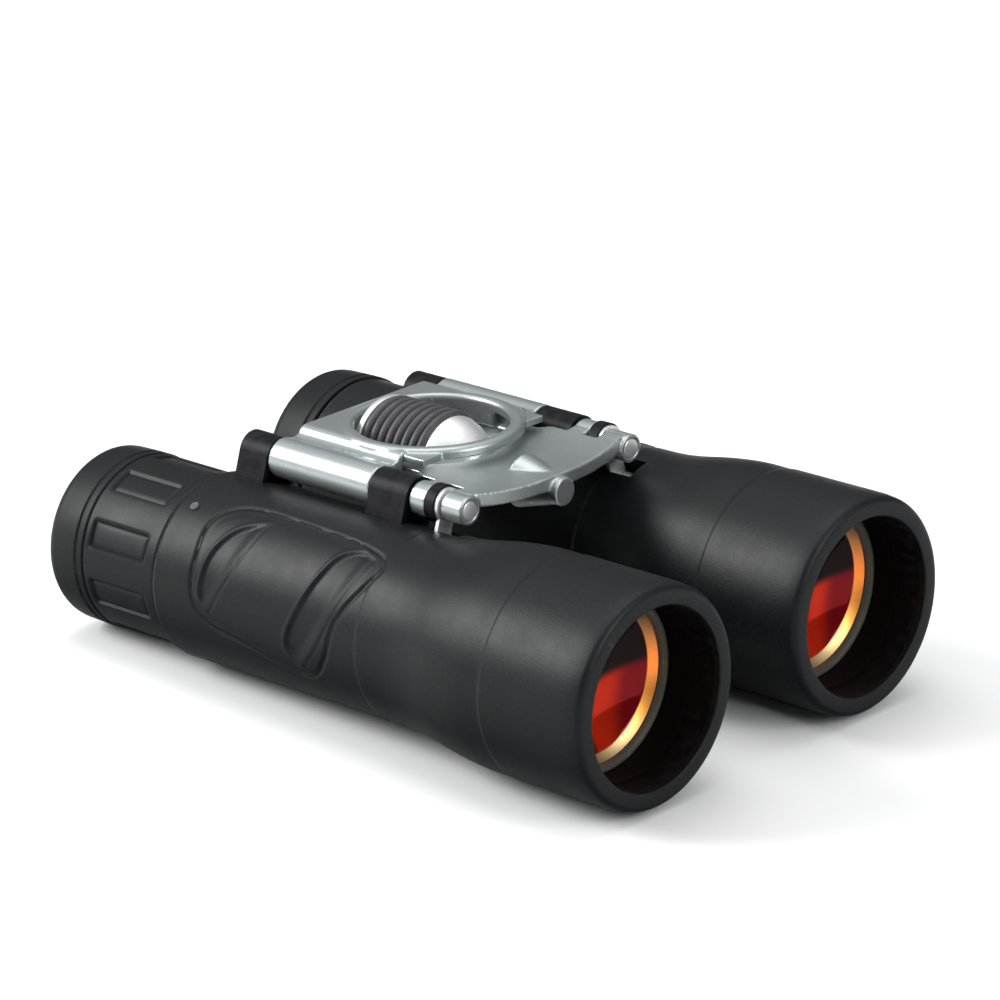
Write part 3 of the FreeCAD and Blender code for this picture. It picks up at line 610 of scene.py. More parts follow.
def fill_ramp(node: bpy.types.Node, stops: Sequence[tuple[float, Colour]]) -> None:
    """Set the stops of a colour ramp.

    Args:
        node: the Color Ramp node, with its two first stops.
        stops: (position, colour) from low to high.
    """
    elements = node.color_ramp.elements
    elements[0].position, elements[1].position = stops[0][0], stops[-1][0]
    for position, _ in stops[1:-1]:
        elements.new(position)
    for element, (_, colour) in zip(elements, stops):
        element.color = (*colour, 1)


def grain_group() -> bpy.types.NodeTree:
    """Fine moulded grain: a height for bumps and a mask of its hollows."""
    group = NodeGroup("moulded_grain", {"Scale": 1500.0, "Softness": 0.5}, ["Height", "Hollow"])
    place = {"Vector": group.place(), "Scale": group.given("Scale")}
    fine = group.add("ShaderNodeTexNoise", place | {"Detail": 3.0}).outputs["Fac"]
    cells = group.add("ShaderNodeTexVoronoi", place | {"Smoothness": group.given("Softness")},
                      feature="SMOOTH_F1")
    group.output("Height", group.math("MULTIPLY_ADD", cells.outputs["Distance"], 0.7, fine))
    group.output("Hollow", group.ramp(fine, 0.62, 0.38))
    return group.tree


def drift_group() -> bpy.types.NodeTree:
    """Slow change of tone over a surface, as handling and moulding leave it."""
    group = NodeGroup("tone_drift", {"Scale": 45.0, "Low": 0.4, "High": 0.62}, ["Tone", "Cloud"])
    cloud = group.add("ShaderNodeTexNoise", {"Vector": group.place(), "Scale": group.given("Scale"),
                                             "Detail": 6.0, "Roughness": 0.62}).outputs["Fac"]
    group.output("Tone", group.ramp(cloud, group.given("Low"), group.given("High")))
    group.output("Cloud", cloud)
    return group.tree


def edge_wear_and_highlight_group() -> bpy.types.NodeTree:
    """Mask on the outward corners, broken up by noise: rubbed edges, and on the silver enamel also a painted
    highlight along the edges.
    """
    group = NodeGroup("rubbed_edges_and_edge_highlight", {"Reach": 0.52, "Break": 260.0}, ["Mask"])
    shape = group.add("ShaderNodeNewGeometry")
    breakup = group.add("ShaderNodeTexNoise", {"Vector": group.place(), "Scale": group.given("Break"),
                                               "Detail": 4.0})
    past = group.math("SUBTRACT", shape.outputs["Pointiness"], group.given("Reach"))
    broken = group.ramp(breakup.outputs["Fac"], 0.38, 0.62)
    group.output("Mask", group.math("MULTIPLY", group.ramp(past, 0.0, 0.06), broken))
    return group.tree


def dust_and_underside_shade_group() -> bpy.types.NodeTree:
    """Specks of dust on faces that look up, and how far a face looks up, which the rubber uses for a painted shade
    on faces that look down.
    """
    group = NodeGroup("settled_dust_and_underside_shade", {"Scale": 900.0, "Amount": 0.5}, ["Mask", "Above"])
    shape = group.add("ShaderNodeNewGeometry")
    up = group.add("ShaderNodeSeparateXYZ", {0: shape.outputs["Normal"]}).outputs["Z"]
    place = group.place()
    specks = group.add("ShaderNodeTexVoronoi", {"Vector": place, "Scale": group.given("Scale")}, feature="F1")
    patches = group.add("ShaderNodeTexNoise", {"Vector": place, "Scale": 60.0})
    spot = group.ramp(specks.outputs["Distance"], 0.16, 0.04)
    patch = group.ramp(patches.outputs["Fac"], 0.45, 0.7)
    dust = group.math("MULTIPLY", group.math("MULTIPLY", spot, patch), group.ramp(up, -0.2, 0.9))
    group.output("Mask", group.math("MULTIPLY", dust, group.given("Amount")))
    # How far a face looks up: used to cut the reflection as painted shade on faces that look down.
    group.output("Above", group.ramp(up, -0.45, 0.40))
    return group.tree


def brushed_group() -> bpy.types.NodeTree:
    """Turning marks: fine rings round Y, with a little waviness."""
    group = NodeGroup("turning_marks", {"Pitch": 5200.0}, ["Height", "Streak"])
    stretch = group.add("ShaderNodeMapping", {"Vector": group.place(), "Scale": (0.03, 1.0, 0.03)})
    marks = group.add("ShaderNodeTexNoise", {"Vector": stretch.outputs["Vector"],
                                             "Scale": group.given("Pitch"), "Detail": 2.0}).outputs["Fac"]
    group.output("Height", marks)
    group.output("Streak", group.ramp(marks, 0.35, 0.65))
    return group.tree


def zones_group() -> bpy.types.NodeTree:
    """Zones of a coated lens by place in the piece, for its painted light: the painted shade of what is in the
    dark, the painted half-shade beside it, and the rim that carries a painted reflection.
    """
    group = NodeGroup("lens_painted_light_zones", {}, ["PaintedShade", "Beside", "Rim", "Height"])
    split = group.add("ShaderNodeSeparateXYZ", {0: group.place("Generated")})
    across = group.math("SUBTRACT", split.outputs["X"], 0.5)
    up = group.math("SUBTRACT", split.outputs["Z"], 0.5)
    squares = group.math("ADD", group.math("MULTIPLY", across, across), group.math("MULTIPLY", up, up))
    # Painted shade: the upper part and the left side of the lens, which look into the dark of the tube.
    above = group.ramp(group.math("MULTIPLY_ADD", across, -0.166, up), -0.105, -0.035)
    left = group.ramp(group.math("MULTIPLY_ADD", up, 0.10, across), -0.02, -0.07)
    group.output("PaintedShade", group.math("MAXIMUM", above, left))
    # Painted half-shade on the right side of the lens.
    group.output("Beside", group.ramp(group.math("MULTIPLY_ADD", up, -0.25, across), 0.20, 0.34))
    group.output("Rim", group.ramp(group.math("SQRT", squares), 0.438, 0.448))
    group.output("Height", split.outputs["Z"])
    return group.tree


class Effects:
    """The shared node groups, each built when it is first wanted."""

    makers: dict[str, Callable[[], bpy.types.NodeTree]] = {
        "grain": grain_group,
        "drift": drift_group,
        "wear": edge_wear_and_highlight_group,
        "dust": dust_and_underside_shade_group,
        "marks": brushed_group,
        "zones": zones_group,
    }
    built: dict[str, bpy.types.NodeTree] = {}

    @classmethod
    def get(cls, name: str) -> bpy.types.NodeTree:
        """The group of that name."""
        if name not in cls.built:
            cls.built[name] = cls.makers[name]()
        return cls.built[name]


# ---- finishes -------------------------------------------------------------------
class Bench(NodeTree):
    """One material while its nodes are put together."""

    def __init__(self, name: str) -> None:
        """Make a material that has a Principled shader and nothing else.

        Args:
            name: the material's name.
        """
        self.material = bpy.data.materials.new(name)
        self.material.use_nodes = True
        self.tree = self.material.node_tree
        self.shader = next(n for n in self.tree.nodes if n.type == "BSDF_PRINCIPLED")

    def effect(self, name: str, **inputs: float) -> bpy.types.Node:
        """Place a shared group with its own values."""
        return self.add("ShaderNodeGroup", inputs, node_tree=Effects.get(name))

    def done(self, inputs: dict[str | int, object]) -> bpy.types.Material:
        """Feed the Principled shader and hand over the material."""
        self.feed(self.shader, inputs)
        return self.material

    def mix(self, share: bpy.types.NodeSocket, low: object, high: object) -> bpy.types.NodeSocket:
        """Blend two colours by a mask.

        Args:
            share: the mask.
            low: colour or socket where the mask is 0.
            high: colour or socket where it is 1.

        Returns:
            The blended colour.
        """
        return self.add("ShaderNodeMix", {"Factor": share, 6: low, 7: high}, data_type="RGBA").outputs[2]

    def between(self, share: bpy.types.NodeSocket, low: float, high: float) -> bpy.types.NodeSocket:
        """A number that goes from low to high with a mask."""
        return self.add("ShaderNodeMapRange", {0: share, 3: low, 4: high}).outputs[0]

    def bump(self, height: bpy.types.NodeSocket, strength: float, depth: float,
             under: bpy.types.NodeSocket | None = None) -> bpy.types.NodeSocket:
        """Bump from a height.

        Args:
            height: the height.
            strength: how strongly it shows.
            depth: its depth in metres.
            under: normal of a coarser bump beneath it.

        Returns:
            The normal.
        """
        inputs = {"Strength": strength, "Distance": depth, "Height": height}
        if under is not None:
            inputs["Normal"] = under
        return self.add("ShaderNodeBump", inputs).outputs["Normal"]


@dataclass(frozen=True)
class Rubber:
    """Moulded rubber or matt plastic with a spark-eroded grain.

    Attributes:
        name: material name.
        base: colour of the clean surface.
        worn: colour where hands have polished it.
        rough: roughness of the clean surface.
        polish: roughness where it is rubbed.
        grain: grains per metre.
        grain_depth: depth of the grain in metres.
        dust: how much dust lies on it.
        gloss: strength of the reflection on faces that look up, 0.5 being bare plastic; on faces that look down it
            is cut to 0.12 of it as painted shade.
    """

    name: str
    base: Colour
    worn: Colour
    rough: float
    polish: float
    grain: float = 2600.0
    grain_depth: float = 0.00004
    dust: float = 0.25
    gloss: float = 0.235

    def make(self) -> bpy.types.Material:
        """Build the material."""
        bench = Bench(self.name)
        drift = bench.effect("drift", Scale=38.0, Low=0.36, High=0.66)
        wear = bench.effect("wear", Reach=0.515, Break=420.0)
        dust = bench.effect("dust", Scale=1100.0, Amount=self.dust)
        grain = bench.effect("grain", Scale=self.grain)
        swirl = bench.effect("drift", Scale=170.0, Low=0.3, High=0.7)
        tone = bench.mix(drift.outputs["Tone"], self.base, self.worn)
        pitted = bench.mix(grain.outputs["Hollow"], tone, tuple(c * 0.72 for c in self.base))
        edged = bench.mix(wear.outputs["Mask"], pitted, tuple(c * 1.9 for c in self.worn))
        dusty = bench.mix(dust.outputs["Mask"], edged, (0.2, 0.2, 0.19))
        normal = bench.bump(grain.outputs["Height"], 0.35, self.grain_depth,
                            bench.bump(swirl.outputs["Cloud"], 0.25, 0.0001))
        return bench.done({
            "Base Color": dusty,
            "Roughness": bench.between(swirl.outputs["Cloud"], self.rough + 0.08, self.polish),
            "Normal": normal,
            # Painted shade: the reflection drops to 0.12 of the gloss on faces that look down, so the undersides
            # stay dark.
            "Specular IOR Level": bench.between(dust.outputs["Above"], self.gloss * 0.12, self.gloss),
        })


@dataclass(frozen=True)
class Metal:
    """Metal or metallic enamel.

    Attributes:
        name: material name.
        base: main colour.
        shade: colour of the darker patches.
        bare: colour where the edges are rubbed; on the silver enamel it is also a painted highlight along the cast
            edges.
        metallic: how metallic it is.
        rough: lowest roughness.
        spread: how much the roughness varies.
        flake: grains per metre of the enamel or casting skin; 0 for turned metal.
        depth: depth of that skin in metres.
    """

    name: str
    base: Colour
    shade: Colour
    bare: Colour
    metallic: float
    rough: float
    spread: float = 0.1
    flake: float = 0.0
    depth: float = 0.00001

    def make(self) -> bpy.types.Material:
        """Build the material."""
        bench = Bench(self.name)
        drift = bench.effect("drift", Scale=70.0, Low=0.35, High=0.68)
        wear = bench.effect("wear", Reach=0.53, Break=520.0)
        tone = bench.mix(drift.outputs["Tone"], self.base, self.shade)
        if self.flake:
            skin = bench.effect("grain", Scale=self.flake)
            fine, tint = skin.outputs["Hollow"], tuple(min(1.0, c * 1.12) for c in self.base)
        else:
            skin = bench.effect("marks")
            fine, tint = skin.outputs["Streak"], tuple(c * 0.86 for c in self.base)
        sparkle = bench.mix(fine, tone, tint)
        # Lighter outward edges: rubbed metal, and on the silver enamel also a painted highlight along the cast
        # edges.
        rubbed = bench.mix(wear.outputs["Mask"], sparkle, self.bare)
        smear = bench.effect("drift", Scale=120.0, Low=0.3, High=0.7)
        streaked = bench.math("MULTIPLY_ADD", fine, 0.35, smear.outputs["Cloud"])
        return bench.done({
            "Base Color": rubbed,
            "Roughness": bench.between(streaked, self.rough, self.rough + self.spread),
            "Normal": bench.bump(skin.outputs["Height"], 0.3, self.depth),
            "Metallic": self.metallic,
        })


@dataclass(frozen=True)
class CoatedGlass:
    """Front lens with a ruby interference coating whose colour is painted with light and shade: a painted lit
    zone, painted shade over the dark of the tube, and a painted reflection up the bevel.

    Attributes:
        name: material name.
        ruby: colour of the coating in the painted lit zone, where the prism face lights it.
        painted_shade: painted shade, the colour where it looks into the dark of the tube.
        painted_half_shade: painted half-shade of the coating, between the lit face and the rim.
        rim: painted reflection up the polished bevel, bright colours as (height, colour).
        rough: roughness of the polished glass.
        rim_rough: roughness of the ground bevel.
        mirror: how mirror-like the coated face is.
    """

    name: str = "ruby_coated_glass"
    ruby: Colour = (0.62, 0.026, 0.006)
    painted_shade: Colour = (0.010, 0.0045, 0.004)
    painted_half_shade: Colour = (0.20, 0.005, 0.008)
    rim: tuple[tuple[float, Colour], ...] = (
        (0.06, (0.62, 0.44, 0.22)),
        (0.22, (1.0, 0.42, 0.09)),
        (0.50, (1.0, 0.27, 0.05)),
        (0.72, (0.50, 0.22, 0.09)),
        (0.90, (0.24, 0.18, 0.11)),
    )
    rough: float = 0.04
    rim_rough: float = 0.36
    mirror: float = 0.35

    def make(self) -> bpy.types.Material:
        """Build the material."""
        bench = Bench(self.name)
        zones = bench.effect("zones")
        drift = bench.effect("drift", Scale=90.0, Low=0.3, High=0.7)
        # Painted light on the coating: the ruby lit zone, a painted half-shade beside it, and painted shade where
        # it looks into the tube.
        lit = bench.mix(drift.outputs["Tone"], self.ruby, tuple(c * 0.8 for c in self.ruby))
        sided = bench.mix(zones.outputs["Beside"], lit, self.painted_half_shade)
        shaded = bench.mix(zones.outputs["PaintedShade"], sided, self.painted_shade)
        # Painted reflection: bright orange colours up the bevel, by height.
        bevel = bench.add("ShaderNodeValToRGB", {"Fac": zones.outputs["Height"]})
        fill_ramp(bevel, self.rim)
        ground = bench.math("MULTIPLY_ADD", drift.outputs["Cloud"], 0.12, zones.outputs["Rim"])
        return bench.done({
            "Base Color": bench.mix(zones.outputs["Rim"], shaded, bevel.outputs["Color"]),
            "Roughness": bench.between(ground, self.rough, self.rim_rough),
            "Metallic": bench.between(zones.outputs["Rim"], self.mirror, 1.0),
            "Specular IOR Level": 0.1,
        })


@dataclass(frozen=True)
class ClearGlass:
    """Polished optical glass with a faint cool coating.

    Attributes:
        name: material name.
        tint: colour of the glass.
        rough: roughness of the polish.
    """

    name: str = "optical_glass"
    tint: Colour = (0.93, 0.97, 0.98)
    rough: float = 0.01

    def make(self) -> bpy.types.Material:
        """Build the material."""
        bench = Bench(self.name)
        drift = bench.effect("drift", Scale=160.0, Low=0.3, High=0.7)
        colour = bench.mix(drift.outputs["Tone"], self.tint, tuple(c * 0.97 for c in self.tint))
        return bench.done({
            "Base Color": colour,
            "Roughness": bench.between(drift.outputs["Cloud"], self.rough, self.rough + 0.02),
            "Transmission Weight": 1.0,
            "IOR": 1.52,
            "Coat Weight": 0.3,
            "Coat Tint": (0.55, 0.75, 1.0),
        })


class Finishes:
    """Every finish of the object, by the record's slot."""

    recipes: dict[Slot, Rubber | Metal | CoatedGlass | ClearGlass] = {
        Slot.ARMOUR: Rubber("armour_rubber", (0.0048, 0.0053, 0.0062), (0.0072, 0.0078, 0.0088), 0.45, 0.36),
        Slot.CUP: Rubber("cup_rubber", (0.0050, 0.0054, 0.0062), (0.0074, 0.0079, 0.0088), 0.50, 0.42),
        Slot.WHEEL: Rubber("wheel_rubber", (0.060, 0.057, 0.062), (0.092, 0.088, 0.094), 0.46, 0.34,
                           grain=3200.0, dust=0.1, gloss=0.4),
        Slot.BODY: Rubber("black_moulding", (0.0035, 0.0035, 0.0042), (0.0055, 0.0055, 0.0064), 0.46, 0.36,
                          grain=3600.0, grain_depth=0.00002, dust=0.05, gloss=0.12),
        Slot.BLACK_METAL: Metal("grey_anodised", (0.16, 0.15, 0.115), (0.12, 0.112, 0.088),
                                (0.24, 0.23, 0.19), 0.4, 0.34, 0.12),
        # The silver's bare colour is rubbed enamel and also a painted highlight along the cast edges.
        Slot.SILVER: Metal("silver_enamel", (0.385, 0.42, 0.425), (0.35, 0.385, 0.39), (0.84, 0.86, 0.87),
                           0.82, 0.30, 0.08, flake=5200.0, depth=0.000005),
        Slot.STEEL: Metal("ground_steel", (0.90, 0.90, 0.90), (0.82, 0.82, 0.82), (0.95, 0.95, 0.95),
                          0.8, 0.28, 0.12),
        Slot.BRASS: Metal("turned_brass", (0.75, 0.54, 0.25), (0.60, 0.42, 0.18), (0.9, 0.72, 0.4),
                          1.0, 0.22, 0.12),
        Slot.RUBY: CoatedGlass(),
        Slot.GLASS: ClearGlass(),
        Slot.INDEX: Rubber("index_paint", (0.10, 0.104, 0.108), (0.07, 0.073, 0.077), 0.5, 0.4, dust=0.0),
    }
    made: dict[Slot, bpy.types.Material] = {}

    @classmethod
    def get(cls, slot: Slot) -> bpy.types.Material:
        """The material of a slot, built when it is first wanted."""
        if slot not in cls.made:
            cls.made[slot] = cls.recipes[slot].make()
        return cls.made[slot]


# ---- sub-assemblies -------------------------------------------------------------
@dataclass
class Assembly:
    """Base of the sub-assemblies: it finishes and reports the pieces."""

    places: Places
    pieces: list[bpy.types.Object] = field(default_factory=list, init=False)

    def finish(self, piece: bpy.types.Object, slot: Slot, body: str, *nodes: str) -> bpy.types.Object:
        """Give a piece its finish and its place in the model.

        Args:
            piece: the object.
            slot: its finish.
            body: the body it rides on.
            nodes: model nodes that it stands for.

        Returns:
            The same object.
        """
        piece.data.materials.clear()
        piece.data.materials.append(Finishes.get(slot))
        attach(piece, body)
        if nodes:
            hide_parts(*nodes)
        self.pieces.append(piece)
        return piece

    def turned(self, name: str, corners: Sequence[tuple[float, ...]], place: Matrix,
               closed: bool = False, segments: int = 120, steps: int = 4) -> bpy.types.Object:
        """Make a plain turned piece with rounded corners.

        Args:
            name: the piece's name.
            corners: (y, radius, fillet) corners in mm.
            place: matrix from its frame to the model.
            closed: whether the profile is a ring.
            segments: columns round the axis.
            steps: segments in each rounded corner.

        Returns:
            The new object.
        """
        lathe = Lathe(softened(corners, closed, steps), even_columns(segments), closed)
        return object_from(name, lathe.build(), place)

    def report(self) -> None:
        """Log every piece with its size."""
        for piece in self.pieces:
            LOG.info("%s: %d faces, %s mm", piece.name, len(piece.data.polygons),
                     " x ".join(f"{side / MM:.1f}" for side in piece.dimensions))


@dataclass
class Armour(Assembly):
    """Rubber skins of the two barrels, with their moulded side panels.

    Angles are seen from the objective side of the right barrel, from straight up, and
    negative on the outside; the left barrel is its mirror image.

    Attributes:
        rim_radius: radius of the rim round the objective, in mm, as all lengths here.
        body_radius: radius behind the flare.
        wall: thickness of the skin.
        hood_radius: clear radius inside the rim.
        flare_start: where the flare starts to narrow.
        flare_end: where it has narrowed to the body.
        end: rear edge of the skin.
        step: spacing of the rows under the moulded panel.
        rim_points: profile points of the rounded rim, which take no extra rows.
        groove: depth of the line round the panel.
        sink: depth of the two leaves in the panel.
        seam: where the rear shut line runs round the barrel.
        seam_depth: its depth.
        bands: low steps round the barrel, as (height, start, run-in, end, run-out).
        openings: cut-outs under the bridge.
        panel: outline of the panel, as (y, angle) points like all lines of it.
        rear_arc: outer edge of the rear leaf.
        rear_chord: its inner edge.
        front_arc: outer edge of the front leaf.
        front_chord: its inner edge.
    """

    rim_radius: float = 22.2
    body_radius: float = 19.05
    wall: float = 1.4
    hood_radius: float = 18.0
    flare_start: float = 27.0
    flare_end: float = 60.0
    end: float = 115.8
    step: float = 0.34
    rim_points: int = 14
    groove: float = 0.34
    sink: float = 0.46
    seam: float = 113.2
    seam_depth: float = 0.22
    bands: tuple[tuple[float, float, float, float, float], ...] = (
        (-0.20, 24.6, 0.9, 34.0, 9.0),
        (0.16, 50.0, 8.5, 60.2, 0.8),
    )
    openings: tuple[Opening, ...] = (
        Opening(66.55, 76.95, 13.2),
        Opening(104.25, 112.65, 13.2),
        Opening(53.2, 61.3, 7.9),
    )
    panel: tuple[tuple[float, float], ...] = (
        (104.6, -54), (97.5, -40), (82.0, -39.6), (66.0, -43), (59.3, -52), (61.2, -70), (65.6, -93),
        (68.6, -119), (75.4, -136), (90.6, -125), (99.8, -119), (104.0, -106), (104.9, -80),
    )
    rear_arc: tuple[tuple[float, float], ...] = (
        (90.6, -46), (97.3, -56.5), (101.2, -74), (102.4, -92), (102.2, -103), (99.4, -111),
    )
    rear_chord: tuple[tuple[float, float], ...] = ((99.4, -111), (94.4, -83), (90.6, -46))
    front_arc: tuple[tuple[float, float], ...] = (
        (62.4, -49), (66.2, -47.0), (70.4, -54), (73.0, -70), (76.0, -92), (78.6, -110), (78.4, -121),
        (74.6, -128),
    )
    front_chord: tuple[tuple[float, float], ...] = (
        (74.6, -128), (70.6, -113), (67.2, -95), (64.2, -72), (62.4, -49),
    )

    def outer(self) -> Profile:
        """Outer line from the rim to the eyepiece end."""
        line = softened([
            (1.5, self.hood_radius, 0),
            (0.0, self.hood_radius, 0.35),
            (0.0, self.rim_radius - 0.35, 1.5),
            (3.6, self.rim_radius, 3.0),
            (6.0, self.rim_radius, 0),
        ], steps=6)
        line += [(float(y), self.taper(y)) for y in np.linspace(self.flare_start, self.flare_end, 40)]
        line += softened([
            (self.flare_end + 2, self.body_radius, 0),
            (self.end - 1.0, self.body_radius, 0),
            (self.end, self.body_radius - 0.55, 0.4),
            (self.end, self.body_radius - self.wall, 0),
        ])
        return line

    def taper(self, y: float) -> float:
        """Radius of the outer side behind the rim, which narrows towards the eyepiece."""
        share = min(max((y - self.flare_start) / (self.flare_end - self.flare_start), 0.0), 1.0)
        drop = 2 * share ** 2 if share < 0.5 else 1 - 2 * (1 - share) ** 2
        return float(self.rim_radius - drop * (self.rim_radius - self.body_radius))

    def curve(self, points: Sequence[tuple[float, float]], closed: bool) -> np.ndarray:
        """A panel line as points of (y, arc length) in mm."""
        arc = math.radians(1) * self.body_radius
        return smooth_loop([(y, a * arc) for y, a in points], closed)

    def relief(self, ys: np.ndarray, angles: np.ndarray) -> np.ndarray:
        """Height of the moulded panel and of the shut lines round the barrel.

        Args:
            ys: places along the axis, as a column.
            angles: angles in degrees, as a row.

        Returns:
            Height in mm at every point.
        """
        turned = (angles + 180) % 360 - 180
        u, v = np.broadcast_arrays(ys, np.radians(turned) * self.body_radius)
        height = -self.seam_depth * bead(u - self.seam, 0.4)
        for lift, start, run_in, end, run_out in self.bands:
            height += lift * smoothstep((u - start) / run_in) * smoothstep((end - u) / run_out)
        near = (u > 56) & (u < 108) & (turned < -30) & (turned > -146)
        if not near.any():
            return height
        pu, pv = u[near], v[near]
        outline = self.curve(self.panel, True)
        gap = distance_to(outline, pu, pv)
        inside = inside_of(outline, pu, pv)
        extra = -self.groove * bead(gap, 0.42) + 0.10 * bead(gap - 0.95, 0.5) * inside
        extra += np.where(inside, 0.14 * smoothstep((gap - 0.6) / 2.6), 0.0)
        leaves = ((self.rear_arc, self.rear_chord), (self.front_arc, self.front_chord))
        for arc_points, chord_points in leaves:
            arc, chord = self.curve(arc_points, False), self.curve(chord_points, False)
            leaf = np.vstack([arc[:-1], chord[:-1]])
            within = inside_of(leaf, pu, pv)
            from_arc = distance_to(arc, pu, pv, False)
            from_chord = distance_to(chord, pu, pv, False)
            depth = smoothstep(from_arc / 1.0) * smoothstep(from_chord / 3.4)
            extra += np.where(within, -self.sink * depth, 0.0)
            extra += 0.17 * bead(from_arc, 0.5) - 0.16 * bead(from_chord, 0.34)
        height[near] += extra
        return height

    def skin(self, side: Side) -> bpy.types.Object:
        """Build one barrel's skin.

        Args:
            side: the barrel.

        Returns:
            The finished piece.
        """
        edges = [e for o in self.openings for e in (o.start, o.end)]
        line = self.outer()
        rim, rest = line[:self.rim_points], line[self.rim_points:]
        rest = dense(rest, 1.6, 4.0, self.end, edges)
        rest = dense(rest, self.step, 57.0, 106.5, edges)
        rest = dense(rest, self.step, 24.0, 26.0)
        outer = rim + [p for p in rest if p[0] > rim[-1][0] + 0.05]
        last_row = self.end - 1.01
        outer = [p for p in outer if p[0] < last_row] + [p for p in line if p[0] >= last_row]
        inner_ys = sorted({y for y, _ in outer for o in self.openings if o.start - 1e-6 <= y <= o.end + 1e-6}
                          | set(np.linspace(self.flare_start, self.flare_end, 14)) | {8.0})
        kept = [inner_ys[0]]
        for y in inner_ys[1:]:
            if y - kept[-1] > 0.02:
                kept.append(y)
        inner = [(y, self.taper(y) - self.wall) for y in reversed(kept)]
        inner.append((1.5, self.taper(0.0) - self.wall))
        count = len(outer)
        loop = outer + inner
        twins = {}
        for i, (y, _) in enumerate(outer):
            if not any(o.start - 1e-6 <= y <= o.end + 1e-6 for o in self.openings):
                continue
            for k in range(count, len(loop)):
                if abs(loop[k][0] - y) < 0.021:
                    twins[i] = k
        mirror = -side.outward
        first, last = (-141.0, -34.0) if mirror > 0 else (34.0, 141.0)
        exact = [s * o.half_angle for o in self.openings for s in (-1, 1)]
        columns = column_angles(2.5, 1.0, first, last, exact)
        lathe = Lathe(loop, columns, True, lambda y, a: self.relief(y, a * mirror), (0, count))
        piece = object_from(f"{side.value}_armour_skin", lathe.build(self.openings, twins),
                            self.places.barrel(side), crease=50.0)
        return self.finish(piece, Slot.ARMOUR, f"{side.value}_barrel", f"{side.value}_rubber_armour")

    def build(self) -> None:
        """Build both skins."""
        for side in Side:
            self.skin(side)


@dataclass
class Eyepieces(Assembly):
    """Dioptre ring, plain sleeve, eyecups and the eye lenses behind them."""

    ring_start: float = 116.05
    ring_end: float = 136.45
    ring_radius: float = 18.0
    plain_radius: float = 17.7
    neck_radius: float = 16.05
    cup_bore: float = 14.4
    cup_end: float = 147.5
    mouth_radius: float = 11.8
    pad_count: int = 9
    pad_offset: float = -5.4
    pad_start: float = 119.2
    pad_end: float = 135.0
    pad_half: float = 3.05
    pad_corner: float = 0.7
    pad_step: float = 0.36
    plain_step: float = 1.5
    cup_radius: float = 18.2

    def pads(self, ys: np.ndarray, angles: np.ndarray) -> np.ndarray:
        """Height of the grip pads round the dioptre ring."""
        pitch = 360 / self.pad_count
        beside = ((angles - self.pad_offset + pitch / 2) % pitch) - pitch / 2
        across = np.radians(np.abs(beside)) * self.ring_radius
        middle = (self.pad_start + self.pad_end) / 2
        gap_y = np.abs(ys - middle) - (self.pad_end - self.pad_start) / 2
        gap_x = across - self.pad_half
        past_x, past_y = gap_x + self.pad_corner, gap_y + self.pad_corner
        corner = np.hypot(np.maximum(past_x, 0), np.maximum(past_y, 0)) - self.pad_corner
        gap = np.where((past_x > 0) & (past_y > 0), corner, np.maximum(gap_x, gap_y))
        return -0.40 * smoothstep(-gap / 0.55) - 0.22 * bead(gap + 0.45, 0.36)

    def sleeve(self, side: Side) -> bpy.types.Object:
        """Build the turning ring of the right eyepiece or the plain sleeve of the left one.

        Args:
            side: the barrel.

        Returns:
            The finished piece.
        """
        padded = side is Side.RIGHT
        radius = self.ring_radius if padded else self.plain_radius
        outer = softened([
            (self.ring_start, self.neck_radius, 0),
            (self.ring_start, radius, 0.75),
            (self.ring_end - 0.05, radius, 0.25),
            (self.ring_end, radius - 0.9, 0),
        ], steps=5)
        step = self.pad_step if padded else self.plain_step
        outer = outer[:1] + dense(outer[1:], step, self.ring_start + 1.2, self.ring_end - 0.4)
        inner = [(self.ring_end, self.cup_bore), (124.3, self.cup_bore), (124.3, self.neck_radius)]
        columns = column_angles(1.25 if padded else 3.0)
        lathe = Lathe(outer + inner, columns, True, self.pads if padded else None, (1, len(outer)))
        if padded:
            name, body, node = "dioptre_grip_ring", "diopter_ring", "diopter_ring"
        else:
            name, body, node = "plain_eyepiece_sleeve", "left_barrel", "left_eyepiece_sleeve"
        piece = object_from(name, lathe.build(), self.places.barrel(side))
        return self.finish(piece, Slot.ARMOUR, body, node)

    def cup(self, side: Side) -> bpy.types.Object:
        """Build one soft eyecup with its rolled lip.

        Args:
            side: the barrel.

        Returns:
            The finished piece.
        """
        start = self.ring_end + 0.12
        outer = self.cup_radius
        corners = [
            (start, self.cup_bore, 0.1),
            (start, outer, 0.35),
            (start + 1.2, outer, 0.2),
            (start + 1.55, outer - 0.35, 0.2),
            (start + 1.95, outer - 0.35, 0.2),
            (start + 2.3, outer, 0.2),
            (self.cup_end - 0.1, outer - 0.25, 4.6),
            (self.cup_end, self.mouth_radius + 0.4, 0.9),
            (self.cup_end - 1.2, self.mouth_radius - 0.2, 1.2),
            (start + 2.7, self.mouth_radius + 0.75, 0.3),
            (start + 2.3, self.cup_bore, 0.1),
        ]
        piece = self.turned(f"{side.value}_rubber_eyecup", corners, self.places.barrel(side), True, 144, 7)
        body = "diopter_ring" if side is Side.RIGHT else "left_barrel"
        return self.finish(piece, Slot.CUP, body, f"{side.value}_eyecup")

    def build(self) -> None:
        """Build both eyepieces."""
        for side in Side:
            self.sleeve(side)
            self.cup(side)
            self.glass(side)

    def glass(self, side: Side) -> bpy.types.Object:
        """Build the polished eye lens.

        Args:
            side: the barrel.

        Returns:
            The finished piece.
        """
        lens = LensShape(start=127.8, radius=11.5, front=24.0, edge=2.0, back=60.0)
        piece = object_from(f"{side.value}_eye_glass", lens.lathe().build(), self.places.barrel(side))
        body = "right_eyepiece" if side is Side.RIGHT else "left_barrel"
        return self.finish(piece, Slot.GLASS, body, f"{side.value}_eye_lens")


